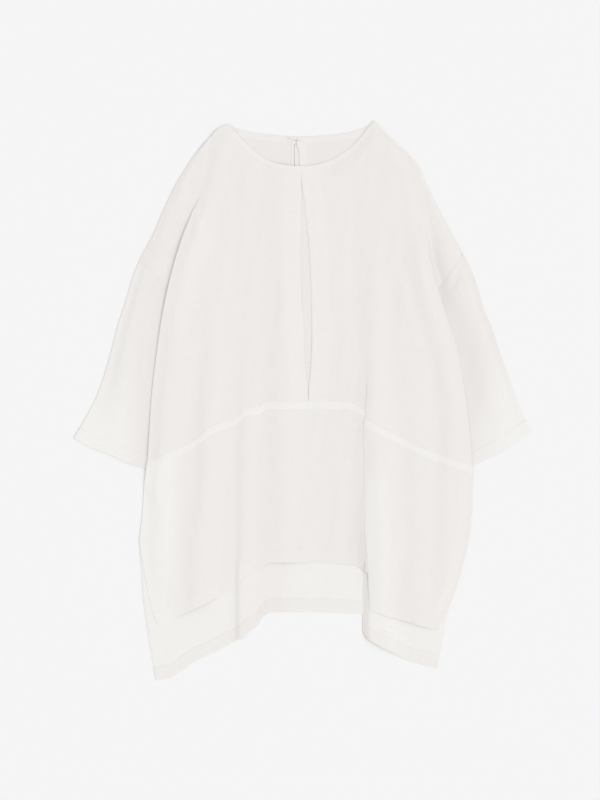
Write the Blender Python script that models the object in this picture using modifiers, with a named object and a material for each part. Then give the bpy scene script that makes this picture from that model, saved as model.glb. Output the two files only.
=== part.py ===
"""A tunic top laid flat on its back, neck towards +Y, front up.

Every panel is an open surface with a Solidify wall. A panel is a grid: its columns run down the garment
and its rows run across. A row is a section of the cloth, worked out from tables of edges and folds.
"""

import bmesh
import bpy
import numpy as np

# Tables and lengths are in millimetres, heights are those of the middle of the wall.
MM = 0.001
MIDDLE = (-0.4, -0.9, 0.0)  # middle of the outline in the tables' frame, which becomes the origin
CLOTH = 1.1  # wall of one layer
DOUBLED = 1.5  # wall where the cloth is turned up or bound
TRIM = 0.9  # wall of a narrow strip that lies on a panel
SEAM = 0.3  # gap between two pieces that are sewn together
SLEEVE_SEAM = 0.9  # drop of a sleeve's top below the slanted armhole, which parts them by about SEAM
FRONT_HEM = 22.0
BACK_HEM = 21.0
CUFF_HEM = 20.0
BAND_WIDTH = 13.0
BINDING_WIDTH = 8.0
NECK_FACING_WIDTH = 11.0

# Heights of the layers
FRONT_EDGE = 2.1  # front at a side seam
OVER_SLEEVE = 2.6  # upper layer of a sleeve, and the front where it lies on it
FRONT_INSIDE = 3.5  # front away from its edges
ON_BACK = CLOTH + SEAM + TRIM / 2  # a strip on the inner side of the back
EDGE_SLOPE = 14.0  # how far in from an edge the front reaches its inside height
SLEEVE_PUFF = 4.0
SLEEVE_BEND = 1.0  # half the height of a sleeve's fold
SLEEVE_TUCK = 8.0  # how far a sleeve reaches under the body
BACK_CLEAR = 1.6  # gap between a sleeve's inner fold and the back's edge

# Knife folds
LAYER_STEP = 2.1  # height from one layer of a fold to the next
FLAT_SPREAD = 10.0  # width that a fold's points take where it has faded out
FOLD_POINTS = 6
SIDE_DEPTH = 14.0  # how far the body's edge is turned under above the sleeves
PAST_TURN = 3.0  # how far past the turned layer the one on top starts to come down
OVER_SLOPE = 34.0  # how far it takes to come down beside a side fold
SKIRT_SLOPE = 50.0  # the same beside the skirt's fold
BACK_FOLD_REACH = 30.0  # how far above the back's fold the front rises for it

# Body over the left sleeve, then the left side and the front's vent edge: height y, edge x
LEFT_SIDE = (
    (427.5, -144.0), (384.8, -152.0), (346.4, -161.6), (301.6, -176.0), (253.6, -193.6),
    (192.8, -211.2), (132.0, -224.0), (88.8, -230.4), (8.8, -240.0), (-63.2, -244.8),
    (-95.0, -248.5), (-114.0, -255.5), (-181.6, -256.0), (-226.4, -263.0), (-248.8, -257.6),
    (-319.2, -243.2), (-364.0, -230.4),
)
# The same on the right
RIGHT_SIDE = (
    (393.0, 171.0), (336.8, 185.6), (288.8, 197.9), (234.4, 202.6), (197.6, 211.2),
    (144.8, 227.2), (111.2, 239.0), (72.8, 249.6), (24.8, 257.6), (-31.2, 265.6),
    (-111.2, 271.4), (-159.2, 272.0), (-213.6, 267.2), (-264.8, 256.0), (-303.2, 244.8),
    (-343.2, 227.2), (-368.8, 216.0),
)
# The back's own side edges below the waist: y, x
LEFT_BACK_EDGE = (
    (-114.0, -255.5), (-181.6, -256.0), (-226.4, -264.0), (-264.8, -257.6), (-303.2, -255.2),
    (-367.2, -248.0), (-405.6, -243.2), (-447.2, -235.2),
)
RIGHT_BACK_EDGE = (
    (-111.2, 271.4), (-159.2, 272.0), (-213.6, 267.2), (-264.8, 256.0), (-303.2, 244.8),
    (-341.6, 232.0), (-392.8, 222.4), (-428.0, 216.0),
)
# Shoulder and upper edge of the arm: y, x
LEFT_ARM = (
    (427.5, -144.0), (400.8, -168.0), (375.2, -185.6), (349.6, -201.6), (311.2, -220.8),
    (260.0, -243.2), (221.6, -264.0), (196.0, -273.6), (157.6, -284.8), (119.2, -297.6),
    (80.8, -307.2), (42.4, -318.4), (4.0, -332.8), (-21.6, -347.2), (-60.0, -367.2),
)
RIGHT_ARM = (
    (393.0, 171.0), (375.2, 187.2), (349.6, 196.8), (324.0, 209.6), (298.4, 222.4),
    (260.0, 243.2), (234.4, 257.5), (208.8, 270.4), (183.2, 280.0), (144.8, 291.2),
    (119.2, 302.4), (80.8, 315.2), (42.4, 329.6), (4.0, 344.0), (-47.2, 366.4),
)
# Shoulders and front neckline: x, y
FRONT_TOP = (
    (-144.0, 427.5), (-131.2, 437.6), (-118.4, 440.8), (-107.0, 430.0), (-91.0, 412.8),
    (-72.0, 395.5), (-53.0, 383.5), (-32.0, 377.3), (-8.0, 374.7), (13.0, 375.5), (37.0, 380.8),
    (61.0, 392.8), (80.0, 407.5), (96.0, 424.0), (109.0, 440.5), (115.0, 447.0), (123.2, 439.2),
    (148.8, 413.6), (171.0, 393.0),
)
# Shoulders and back neckline: x, y
BACK_TOP = (
    (-144.0, 427.5), (-131.2, 437.6), (-118.4, 440.8), (-104.0, 435.0), (-88.0, 430.5),
    (-48.0, 424.8), (-8.0, 421.8), (28.8, 423.2), (60.8, 426.3), (96.0, 434.8), (108.0, 441.5),
    (115.0, 447.0), (123.2, 439.2), (148.8, 413.6), (171.0, 393.0),
)
# Middle of the waist band: x, y, on either side of the skirt's fold
BAND_LEFT = (
    (-256.0, -107.0), (-227.0, -95.2), (-176.0, -71.2), (-144.0, -47.2), (-104.0, -31.2),
    (-91.2, -19.0), (-68.8, -15.2), (-59.2, -8.8), (-20.0, -7.2), (64.0, -7.2), (97.0, -19.0),
)
BAND_RIGHT = ((99.0, -36.0), (144.0, -58.4), (184.0, -79.2), (224.0, -95.2), (272.0, -111.0))
# Lower edges: x, y, on either side of the skirt's fold
FRONT_HEM_LEFT = (
    (-230.4, -364.0), (-195.0, -344.8), (-147.0, -320.8), (-104.0, -301.6), (-94.4, -284.0),
    (-83.0, -277.6), (-64.0, -267.0), (-49.6, -259.2), (45.0, -260.0), (100.0, -266.4),
)
FRONT_HEM_RIGHT = ((104.0, -330.0), (153.6, -348.0), (188.8, -359.2), (216.0, -368.8))
BACK_HEM_LEFT = (
    (-235.2, -447.2), (-212.8, -444.0), (-176.0, -420.0), (-124.8, -394.4), (-99.2, -380.0),
    (-86.4, -367.2), (-73.6, -360.8), (-62.0, -343.0), (-48.0, -338.4), (3.2, -337.6),
    (100.0, -341.0),
)
BACK_HEM_RIGHT = (
    (104.0, -385.0), (118.4, -397.0), (144.0, -407.2), (169.6, -418.4), (216.0, -428.0),
)
# Cuffs: x, y
LEFT_CUFF = ((-367.2, -60.0), (-342.0, -74.4), (-304.0, -89.6), (-278.0, -102.4), (-240.0, -113.0))
RIGHT_CUFF = ((255.0, -112.0), (271.4, -104.8), (310.4, -84.0), (348.8, -60.0), (366.4, -47.2))
# Edges of the centre front slit: y, x of the left edge, x of the right edge
FRONT_SLIT = (
    (447.0, -0.95, -0.65), (358.8, -0.95, -0.65), (310.0, -1.9, 4.6), (230.0, -2.2, 12.3),
    (142.0, -0.5, 15.5), (102.0, 3.5, 16.0), (56.8, 4.8, 14.3), (4.0, 10.05, 10.35),
    (-40.0, 10.05, 10.35),
)
# Edges of the slit at the centre of the back neck: y, x of the left edge, x of the right edge
BACK_SLIT = (
    (430.0, -8.0, -6.8), (411.0, -10.5, -6.5), (374.0, -12.0, -4.0), (330.0, -12.0, -4.0),
    (305.0, -10.0, -6.0), (-450.0, -10.0, -6.0),
)
BACK_SLIT_END = 312.0
# The skirt's fold: y, edge x, how far it has formed from 0 to 1, depth turned under
FRONT_FOLD = (
    (450.0, 92.0, 0.0, 14.0), (240.0, 95.0, 0.0, 14.0), (100.0, 98.0, 0.3, 14.0),
    (30.0, 98.0, 1.0, 18.0), (-80.0, 97.0, 1.0, 20.0), (-180.0, 99.0, 1.0, 24.0),
    (-345.0, 106.0, 1.0, 26.0),
)
BACK_FOLD = (
    (450.0, 102.0, 0.0, 20.0), (-170.0, 102.0, 0.0, 20.0), (-255.0, 102.0, 1.0, 22.0),
    (-345.0, 103.0, 1.0, 24.0), (-400.0, 104.0, 1.0, 24.0),
)
# Where the sides are folded over the sleeves: y, how far the left and right folds have formed
SIDE_FOLDING = (
    (450.0, 0.0, 0.0), (346.0, 0.0, 0.0), (300.0, 0.35, 0.0), (250.0, 1.0, 0.4),
    (200.0, 1.0, 1.0), (-112.0, 1.0, 1.0), (-160.0, 0.0, 0.0), (-450.0, 0.0, 0.0),
)
# The sharp ridge left of the centre: y, height on the front, height on the back
RIDGE_HEIGHT = (
    (450.0, 0.0, 0.0), (60.0, 0.5, 0.0), (-30.0, 4.0, 0.0), (-160.0, 5.0, 0.0),
    (-270.0, 5.0, 4.5), (-450.0, 4.5, 4.5),
)
# Across the ridge: x, share of its height
RIDGE_SHAPE = (
    (-450.0, 0.0), (-104.0, 0.0), (-98.0, 1.0), (-94.0, 0.95), (-84.0, 0.6), (-66.0, 0.0),
    (450.0, 0.0),
)
# Soft folds of the front: x at the neck, waist and hem, half width, height at neck, waist and hem
SOFT_FOLDS = (
    (-150.0, -190.0, -212.0, 26.0, 1.0, 3.0, 4.0),
    (-118.0, -127.0, -132.0, 14.0, 0.5, 2.5, 3.0),
    (-24.0, -4.0, 20.0, 24.0, 1.0, 2.5, 3.5),
    (118.0, 120.0, 128.0, 18.0, 0.5, 3.5, 2.5),
    (150.0, 175.0, 182.0, 24.0, 1.0, 2.5, 3.0),
    (180.0, 232.0, 225.0, 15.0, 0.5, 2.0, 1.5),
)
SOFT_LEVELS = (300.0, -20.0, -350.0)  # y of the neck, waist and hem columns above

# Where the grids are divided
ARMHOLE_LEFT = ((-264.0, 221.6), (-212.6, 185.0))
ARMHOLE_RIGHT = ((257.5, 234.4), (212.0, 172.0))
ARM_SHARES = (1.0, 0.55, 0.15)  # columns of the shoulder, from the outline to the fold
LEFT_COLUMNS = (-104.0, -98.0, -94.0, -84.0, -66.0, -50.0, -34.0, -17.0)
RIGHT_COLUMNS = (30.0, 48.0, 66.0, 84.0)
SIDE_COLUMNS = (0.0, 0.33, 0.67)
SHOULDER_ROWS = 6
BODICE_ROWS = 7
SKIRT_ROWS = 9
SLEEVE_ROWS = 9
SLEEVE_SHARES = (0.06, 0.2, 0.4, 0.6, 0.8, 0.94)

LINEN = (0.85, 0.83, 0.80, 1.0)
BAND_LINEN = (0.87, 0.86, 0.83, 1.0)
METAL = (0.45, 0.43, 0.44, 1.0)


def smooth_step(share):
    """0 below 0, 1 above 1, and an even S between."""
    share = np.clip(share, 0.0, 1.0)
    return share * share * (3.0 - 2.0 * share)


def curve(table, at, column=1):
    """A smooth curve through the table's rows, with no overshoot between them, read at the given places."""
    rows = np.array(sorted(table))
    x, y = rows[:, 0], rows[:, column]
    step = np.diff(x)
    slope = np.diff(y) / step
    tangent = np.zeros(len(x))
    same_way = slope[:-1] * slope[1:] > 0
    harmonic = 2.0 * slope[:-1] * slope[1:] / np.where(same_way, slope[:-1] + slope[1:], 1.0)
    tangent[1:-1] = np.where(same_way, harmonic, 0.0)
    tangent[0], tangent[-1] = slope[0], slope[-1]
    at = np.clip(at, x[0], x[-1])
    i = np.clip(np.searchsorted(x, at, side="right") - 1, 0, len(step) - 1)
    t = (at - x[i]) / step[i]
    rise = t * t * (3.0 - 2.0 * t)
    start = t * (1.0 - t) ** 2 * step[i] * tangent[i]
    end = t * t * (t - 1.0) * step[i] * tangent[i + 1]
    return y[i] * (1.0 - rise) + y[i + 1] * rise + start + end


def line_through(ends, x):
    """Height of the straight line through two points."""
    (x0, y0), (x1, y1) = ends
    return y0 + (y1 - y0) * (x - x0) / (x1 - x0)


def raised(formed):
    """Share of a fold's height: it rises faster than it turns under, so that its layers stay apart."""
    return 1.0 - (1.0 - formed) ** 3


def fold_section(formed, depth):
    """The points across a knife fold, from the lower layer to the upper one.

    They go under by the depth, turn back, and turn forward again at the edge, a layer's step higher at each
    turn. Where the fold is not yet formed, they lie side by side on the flat.
    """
    formed, depth = np.broadcast_arrays(formed, depth)
    bend = LAYER_STEP / 2
    zero = np.zeros_like(depth)
    across = np.stack([depth, depth + bend, depth, zero + bend, zero, zero + bend], axis=-1)
    height = np.array([0.0, 0.5, 1.0, 1.0, 1.5, 2.0]) * LAYER_STEP
    flat = np.linspace(0.0, FLAT_SPREAD, FOLD_POINTS)
    formed = formed[..., None]
    return flat * (1 - formed) + across * formed, height * raised(formed)


def past_turn(formed, depth):
    """Place across of the upper layer's point just past the turned layer under it."""
    return (depth + PAST_TURN) * formed + (FLAT_SPREAD + PAST_TURN) * (1 - formed)


def over_lift(distance, formed, depth, slope):
    """Height of a fold's upper layer: level over the turned layer, then coming down over the slope."""
    start = (depth + PAST_TURN) * formed
    return 2 * LAYER_STEP * raised(formed) * (1 - smooth_step((distance - start) / slope))


def back_rise(x, y):
    """How far the back's own fold pushes up the front that lies on it."""
    y = y - BACK_FOLD_REACH
    edge, formed, depth = (curve(BACK_FOLD, y, column) for column in (1, 2, 3))
    before = smooth_step((x - edge + 18.0) / 14.0)
    return before * over_lift(x - edge - 8.0, formed, depth, SKIRT_SLOPE)


def ridge(x, y, column):
    return np.interp(x, *zip(*RIDGE_SHAPE)) * curve(RIDGE_HEIGHT, y, column)


def soft_folds(x, y):
    """The sum of the soft folds: each is a bell across, whose middle and height change down the garment."""
    total = np.zeros(np.broadcast(x, y).shape)
    for neck, waist, hem, half_width, *heights in SOFT_FOLDS:
        middle = curve(tuple(zip(SOFT_LEVELS, (neck, waist, hem))), y)
        height = curve(tuple(zip(SOFT_LEVELS, heights)), y)
        total += height * np.exp(-(((x - middle) / half_width) ** 2))
    return total


def from_side(x, y):
    """How far a point of the front lies inside the body's left and right edge."""
    return x - curve(LEFT_SIDE, y), curve(RIGHT_SIDE, y) - x


def front_base(x, y):
    """Height of the front before its own knife folds are added."""
    left, right = from_side(x, y)
    inside = smooth_step(np.minimum(left, right) / EDGE_SLOPE)
    at_edge = FRONT_EDGE + (OVER_SLEEVE - FRONT_EDGE) * smooth_step((y + 150.0) / 38.0)
    level = at_edge + (FRONT_INSIDE - at_edge) * inside
    return level + soft_folds(x, y) * inside + ridge(x, y, 1) + back_rise(x, y)


def side_lift(x, y):
    left, right = from_side(x, y)
    lift = over_lift(left, curve(SIDE_FOLDING, y, 1), SIDE_DEPTH, OVER_SLOPE)
    return lift + over_lift(right, curve(SIDE_FOLDING, y, 2), SIDE_DEPTH, OVER_SLOPE)


def skirt_lift(x, y):
    edge, formed, depth = (curve(FRONT_FOLD, y, column) for column in (1, 2, 3))
    return over_lift(x - edge, formed, depth, SKIRT_SLOPE)


def front_height(x, y):
    """Height of the visible layer of the front, between the side folds."""
    on_top = x > curve(FRONT_FOLD, y)
    return front_base(x, y) + side_lift(x, y) + np.where(on_top, skirt_lift(x, y), 0.0)


def arm_height(x, y, side, arm):
    """Height of the upper layer of the arm: level under the body, puffed out beside it."""
    inner, outer = curve(side, y), curve(arm, y)
    share = np.clip((x - inner) / np.where(outer == inner, 1.0, outer - inner), 0.0, 1.0)
    return OVER_SLEEVE + SLEEVE_PUFF * np.sin(np.pi * share) ** 2 * smooth_step((300.0 - y) / 120.0)


def between(start, end, shares):
    return [start + (end - start) * share for share in shares]


def front_section(y):
    """The sections of the front at the heights y: x and z, one column for each line down the cloth."""
    y = np.asarray(y, float)
    left, right = curve(LEFT_SIDE, y), curve(RIGHT_SIDE, y)
    slit_left, slit_right = curve(FRONT_SLIT, y, 1), curve(FRONT_SLIT, y, 2)
    left_across, left_up = fold_section(curve(SIDE_FOLDING, y, 1), SIDE_DEPTH)
    right_across, right_up = fold_section(curve(SIDE_FOLDING, y, 2), SIDE_DEPTH)
    skirt_across, skirt_up = fold_section(curve(FRONT_FOLD, y, 2), curve(FRONT_FOLD, y, 3))
    points = []

    def add(x, z):
        points.append((x + 0 * y, z + 0 * y))

    for x in between(left, curve(LEFT_ARM, y), ARM_SHARES):
        add(x, arm_height(x, y, LEFT_SIDE, LEFT_ARM))
    for i in range(FOLD_POINTS):
        x = left + left_across[..., i]
        add(x, front_base(x, y) + left_up[..., i])
    inner_left = left + past_turn(curve(SIDE_FOLDING, y, 1), SIDE_DEPTH)
    visible = between(inner_left, LEFT_COLUMNS[0], SIDE_COLUMNS) + list(LEFT_COLUMNS)
    for x in visible + [slit_left, slit_right] + list(RIGHT_COLUMNS):
        add(x, front_height(x, y))
    for i in range(FOLD_POINTS):
        x = curve(FRONT_FOLD, y) + skirt_across[..., i]
        add(x, front_base(x, y) + side_lift(x, y) + skirt_up[..., i])
    inner_right = right - past_turn(curve(SIDE_FOLDING, y, 2), SIDE_DEPTH)
    after_fold = curve(FRONT_FOLD, y) + past_turn(curve(FRONT_FOLD, y, 2), curve(FRONT_FOLD, y, 3))
    for x in between(after_fold, inner_right, SIDE_COLUMNS + (1.0,)):
        add(x, front_height(x, y))
    for i in reversed(range(FOLD_POINTS)):
        x = right - right_across[..., i]
        add(x, front_base(x, y) + right_up[..., i])
    for x in reversed(between(right, curve(RIGHT_ARM, y), ARM_SHARES)):
        add(x, arm_height(x, y, RIGHT_SIDE, RIGHT_ARM))
    x, z = zip(*points)
    return np.stack(x, axis=-1), np.stack(z, axis=-1)


# Columns of the front, by number
ARM = len(ARM_SHARES)
LEFT_EDGE = ARM
SLIT_LEFT = ARM + FOLD_POINTS + len(SIDE_COLUMNS) + len(LEFT_COLUMNS)
SLIT_RIGHT = SLIT_LEFT + 1
FOLD_START = SLIT_RIGHT + 1 + len(RIGHT_COLUMNS)
RIGHT_TURN = FOLD_START + FOLD_POINTS + len(SIDE_COLUMNS) + 1
RIGHT_EDGE = RIGHT_TURN + FOLD_POINTS - 1
COLUMNS = RIGHT_EDGE + 1 + ARM


def points_of(section, heights):
    """The grid's points: each column read off the sections at its own heights, one row for each."""
    grid = np.zeros(heights.shape + (3,))
    for column in range(heights.shape[1]):
        x, z = section(heights[:, column])
        grid[:, column] = np.stack([x[:, column], heights[:, column], z[:, column]], axis=-1)
    return grid


def meet(section, start, height_at):
    """Where each column meets an edge whose height is a function of x: a few rounds of looking it up."""
    heights = start + np.zeros(section(np.zeros(1))[0].shape[1])
    for _ in range(12):
        x = np.diagonal(section(heights)[0])
        heights = height_at(x)
    return heights


def split_edge(left_table, right_table, first):
    """An edge that steps at the fold: a table left of it, another right of it, a slant through its points."""

    def height_at(x):
        heights = curve(left_table, x)
        after = first + FOLD_POINTS - 1
        heights[after:] = curve(right_table, x[after:])
        ramp = np.array([0.12, 0.12, 0.12, 1.0, 1.0, 1.0])
        start, end = heights[first - 1], heights[after]
        heights[first : after + 1] = start + (end - start) * ramp
        return heights

    return height_at


def level_turns(heights):
    """Under the turned sides an edge runs on at the height that it has where the cloth turns."""
    heights = heights.copy()
    heights[LEFT_EDGE : LEFT_EDGE + FOLD_POINTS - 1] = heights[LEFT_EDGE + FOLD_POINTS - 1]
    heights[RIGHT_TURN + 1 : RIGHT_EDGE + 1] = heights[RIGHT_TURN]
    return heights


def material(name, colour, roughness, metallic=0.0):
    made = bpy.data.materials.new(name)
    made.use_nodes = True
    shader = made.node_tree.nodes["Principled BSDF"]
    shader.inputs["Base Color"].default_value = colour
    shader.inputs["Roughness"].default_value = roughness
    shader.inputs["Metallic"].default_value = metallic
    return made


def clear_scene():
    for thing in list(bpy.data.objects):
        bpy.data.objects.remove(thing)
    collection = bpy.data.collections.new("tunic_top")
    bpy.context.scene.collection.children.link(collection)
    return collection


def cloth(name, grid, wall, look, collection, left_out=None, ring=False):
    """A panel from its grid of points in millimetres, with the wall given at each point.

    left_out marks the grid's cells that are open, and ring joins the last column to the first.
    """
    rows, columns = grid.shape[:2]
    wall = np.broadcast_to(wall, (rows, columns))
    mesh = bpy.data.meshes.new(name)
    number = np.arange(rows * columns).reshape(rows, columns)
    if ring:
        number = np.concatenate([number, number[:, :1]], axis=1)
    cells = np.stack([number[:-1, :-1], number[1:, :-1], number[1:, 1:], number[:-1, 1:]], axis=-1)
    if left_out is not None:
        cells = cells[~left_out]
    used, faces = np.unique(cells.reshape(-1, 4), return_inverse=True)
    points = (grid.reshape(-1, 3)[used] - MIDDLE) * MM
    mesh.from_pydata(points.tolist(), [], faces.reshape(-1, 4).tolist())
    made = bpy.data.objects.new(name, mesh)
    collection.objects.link(made)
    group = made.vertex_groups.new(name="wall")
    thickest = float(wall.max())
    for point, share in enumerate(wall.reshape(-1)[used] / thickest):
        group.add([point], float(share), "REPLACE")
    cage = bmesh.new()
    cage.from_mesh(mesh)
    bmesh.ops.remove_doubles(cage, verts=cage.verts, dist=1e-6)
    cage.to_mesh(mesh)
    cage.free()
    mesh.materials.append(look)
    shell = made.modifiers.new("wall", "SOLIDIFY")
    shell.thickness = thickest * MM
    shell.offset = 0.0
    shell.vertex_group = "wall"
    shell.thickness_vertex_group = 0.0
    mesh.shade_smooth()
    return made


def spaced(start, end, shares):
    """Rows of heights from start to end, one for each share."""
    shares = np.asarray(shares)[:, None]
    return start * (1 - shares) + end * shares


def make_bodice(look, collection):
    """The two halves of the front, from the neckline and the shoulders to the waist band."""
    top = meet(front_section, 400.0, lambda x: curve(FRONT_TOP, x))
    arm_left = meet(front_section, 200.0, lambda x: line_through(ARMHOLE_LEFT, x))
    arm_right = meet(front_section, 200.0, lambda x: line_through(ARMHOLE_RIGHT, x))
    band = level_turns(meet(front_section, -50.0, split_edge(BAND_LEFT, BAND_RIGHT, FOLD_START)))
    middle_left, middle_right = arm_left[LEFT_EDGE], arm_right[RIGHT_EDGE]
    middle = np.where(np.arange(COLUMNS) <= SLIT_LEFT, middle_left, middle_right)
    middle[:ARM] = arm_left[:ARM]
    middle[RIGHT_EDGE + 1 :] = arm_right[RIGHT_EDGE + 1 :]
    top[: ARM + 1] = LEFT_ARM[0][0]
    top[RIGHT_EDGE:] = RIGHT_ARM[0][0]
    low = band + BAND_WIDTH / 2 + SEAM
    shoulder = spaced(top, middle, np.linspace(0, 1, SHOULDER_ROWS + 1))
    bodice = spaced(middle, low, np.linspace(0, 1, BODICE_ROWS + 1)[1:])
    heights = np.concatenate([shoulder, bodice])
    grid = points_of(front_section, heights)
    halves = (
        ("front_left", slice(0, SLIT_LEFT + 1), slice(0, ARM)),
        ("front_right", slice(SLIT_RIGHT, COLUMNS), slice(-ARM, None)),
    )
    for name, columns, arm in halves:
        half = grid[:, columns]
        left_out = np.zeros((half.shape[0] - 1, half.shape[1] - 1), bool)
        left_out[SHOULDER_ROWS:, arm] = True
        cloth(name, half, CLOTH, look, collection, left_out)
    return band, heights


def make_skirt(band, look, band_look, collection):
    """The waist band and the front skirt below it, which run across both halves."""
    body = [c for c in range(LEFT_EDGE, RIGHT_EDGE + 1) if c != SLIT_RIGHT]
    edge = split_edge(FRONT_HEM_LEFT, FRONT_HEM_RIGHT, FOLD_START)
    hem = level_turns(meet(front_section, -300.0, edge))
    strip = spaced(band + BAND_WIDTH / 2, band - BAND_WIDTH / 2, (0.0, 1.0))
    cloth("waist_band", points_of(front_section, strip)[:, body], DOUBLED, band_look, collection)
    top = band - BAND_WIDTH / 2 - SEAM
    turned = hem + FRONT_HEM
    skirt = spaced(top, turned, np.linspace(0, 1, SKIRT_ROWS))
    heights = np.concatenate([skirt, turned[None] - 2.0, hem[None]])
    wall = np.where(np.arange(len(heights)) < SKIRT_ROWS, CLOTH, DOUBLED)[:, None]
    grid = points_of(front_section, heights)[:, body]
    cloth("front_skirt", grid, wall, look, collection)


def back_side(y, arm_side, edge):
    """Edge of the back beside a sleeve: just past the sleeve's tuck, and below the cuff the side seam."""
    tuck = SLEEVE_TUCK + CLOTH / 2 + BACK_CLEAR
    inward = tuck if arm_side is LEFT_SIDE else -tuck
    return np.where(y > -114.0, curve(arm_side, y) + inward, curve(edge, y))


def back_section(y):
    """The sections of the back at the heights y, as front_section gives those of the front."""
    y = np.asarray(y, float)
    left = back_side(y, LEFT_SIDE, LEFT_BACK_EDGE)
    right = back_side(y, RIGHT_SIDE, RIGHT_BACK_EDGE)
    edge, formed, depth = (curve(BACK_FOLD, y, column) for column in (1, 2, 3))
    across, up = fold_section(formed, depth)
    slit_left, slit_right = curve(BACK_SLIT, y, 1), curve(BACK_SLIT, y, 2)
    after = edge + across[..., -1]
    x_left = between(left, curve(LEFT_ARM, y), (1.0, 0.5)) + [left]
    x_left += between(left, LEFT_COLUMNS[0], (0.33, 0.67)) + list(LEFT_COLUMNS[:-2])
    x_middle = [slit_left, slit_right, 30.0, 66.0]
    x_right = between(after, right, (0.15, 0.4, 0.7)) + [right]
    x_right += reversed(between(right, curve(RIGHT_ARM, y), (1.0, 0.5)))
    points = [(x + 0 * y, ridge(x, y, 2) + 0 * y) for x in x_left + x_middle]
    points += [(edge + across[..., i], up[..., i]) for i in range(FOLD_POINTS)]
    points += [(x + 0 * y, over_lift(x - edge, formed, depth, SKIRT_SLOPE)) for x in x_right]
    x, z = zip(*points)
    return np.stack(x, axis=-1), np.stack(z, axis=-1)


def make_back(look, collection):
    """The back in one piece, with its slit at the neck."""
    outer, fold_start = 2, 2 + 1 + 2 + len(LEFT_COLUMNS) - 2 + 4
    columns = back_section(np.zeros(1))[0].shape[1]
    slit = fold_start - 4
    top = meet(back_section, 400.0, lambda x: curve(BACK_TOP, x))
    arm_left = meet(back_section, 200.0, lambda x: line_through(ARMHOLE_LEFT, x))
    arm_right = meet(back_section, 200.0, lambda x: line_through(ARMHOLE_RIGHT, x))
    low = meet(back_section, -400.0, split_edge(BACK_HEM_LEFT, BACK_HEM_RIGHT, fold_start))
    top[: outer + 1] = LEFT_ARM[0][0]
    top[-outer - 1 :] = RIGHT_ARM[0][0]
    middle = np.where(np.arange(columns) <= slit, arm_left[outer], arm_right[-outer - 1])
    middle[:outer], middle[-outer:] = arm_left[:outer], arm_right[-outer:]
    slit_end = np.where(top > BACK_SLIT_END, BACK_SLIT_END, 0.0) + np.zeros(columns)
    slit_end[: outer + 1] = (top[: outer + 1] + middle[: outer + 1]) / 2
    slit_end[-outer - 1 :] = (top[-outer - 1 :] + middle[-outer - 1 :]) / 2
    heights = [spaced(top, slit_end, (0.0, 0.33, 0.67, 1.0)), spaced(slit_end, middle, (0.5, 1.0))]
    level = np.ones(columns)
    heights.append(spaced(middle, -113.9 * level, (0.35, 0.6, 0.82, 0.94, 1.0)))
    heights.append(spaced(-114.1 * level, -255.0 * level, (0.0, 0.35, 0.6, 0.8, 1.0)))
    heights.append(spaced(-255.0 * level, low + BACK_HEM, (0.5, 1.0)))
    heights.append(np.stack([low + BACK_HEM - 2.0, low]))
    heights = np.concatenate(heights)
    wall = np.where(np.arange(len(heights)) < len(heights) - 2, CLOTH, DOUBLED)[:, None]
    grid = points_of(back_section, heights)
    grid[..., 2] += wall / 2
    left_out = np.zeros((len(heights) - 1, columns - 1), bool)
    left_out[5:, :outer] = True
    left_out[5:, -outer:] = True
    left_out[:3, slit] = True
    cloth("back_panel", grid, wall, look, collection, left_out)


def make_sleeve(name, side, arm, armhole, cuff, look, collection):
    """A sleeve as a flat tube, open at both ends, from the armhole seam to the hemmed cuff."""
    sign = 1.0 if side is LEFT_SIDE else -1.0
    outer_top, outer_low = armhole[0][1] - SLEEVE_SEAM, min(arm)[0]
    inner_low = -110.0
    inner_top = armhole[1][1]
    for _ in range(12):
        inner_top = line_through(armhole, curve(side, inner_top) + sign * SLEEVE_TUCK) - SLEEVE_SEAM
    turned = 1 - CUFF_HEM / (outer_top - outer_low)
    shares = np.append(np.linspace(0, turned, SLEEVE_ROWS), (turned + 0.006, 1.0))
    outer_y = outer_top + (outer_low - outer_top) * shares
    inner_y = inner_top + (inner_low - inner_top) * shares
    outer_x, inner_x = curve(arm, outer_y), curve(side, inner_y) + sign * SLEEVE_TUCK
    wall = np.where(np.arange(len(shares)) < SLEEVE_ROWS, CLOTH, DOUBLED)[:, None]
    across = np.array(SLEEVE_SHARES)
    x = inner_x[:, None] + (outer_x - inner_x)[:, None] * across
    y = inner_y[:, None] + (outer_y - inner_y)[:, None] * across
    bow = curve(cuff, x) - y[-1:]
    y = y + bow * (shares[:, None] ** 8)
    low = wall / 2 + 0 * x
    high = arm_height(x, y, side, arm) + wall / 2 - CLOTH / 2
    high[:, :1] = low[:, :1] + 2 * SLEEVE_BEND
    high[:, -1:] = low[:, -1:] + 2 * SLEEVE_BEND
    bend_in = np.stack([inner_x, inner_y, low[:, 0] + SLEEVE_BEND], axis=-1)[:, None]
    bend_out = np.stack([outer_x, outer_y, low[:, 0] + SLEEVE_BEND], axis=-1)[:, None]
    upper = np.stack([x, y, high], axis=-1)
    lower = np.stack([x, y, low], axis=-1)[:, ::-1]
    grid = np.concatenate([bend_in, upper, bend_out, lower], axis=1)
    if sign > 0:
        grid = grid[:, ::-1]
    cloth(name, grid, wall, look, collection, ring=True)


def strip_on(name, edges, height, look, collection):
    """A narrow strip between two edges, at the height given for its points."""
    flat = np.stack(edges)
    grid = np.concatenate([flat, height(flat[..., 0], flat[..., 1])[..., None]], axis=-1)
    cloth(name, grid, TRIM, look, collection)


def above_front(x, y):
    """Height of a strip that lies on the front, with a little room over the front's curve."""
    return front_height(x, y) + CLOTH / 2 + SEAM + TRIM / 2 + 0.1


def above_back(x, y):
    """Height of a strip that lies on the inner side of the back, which is level at the neck."""
    return np.full(np.broadcast(x, y).shape, ON_BACK)


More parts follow.
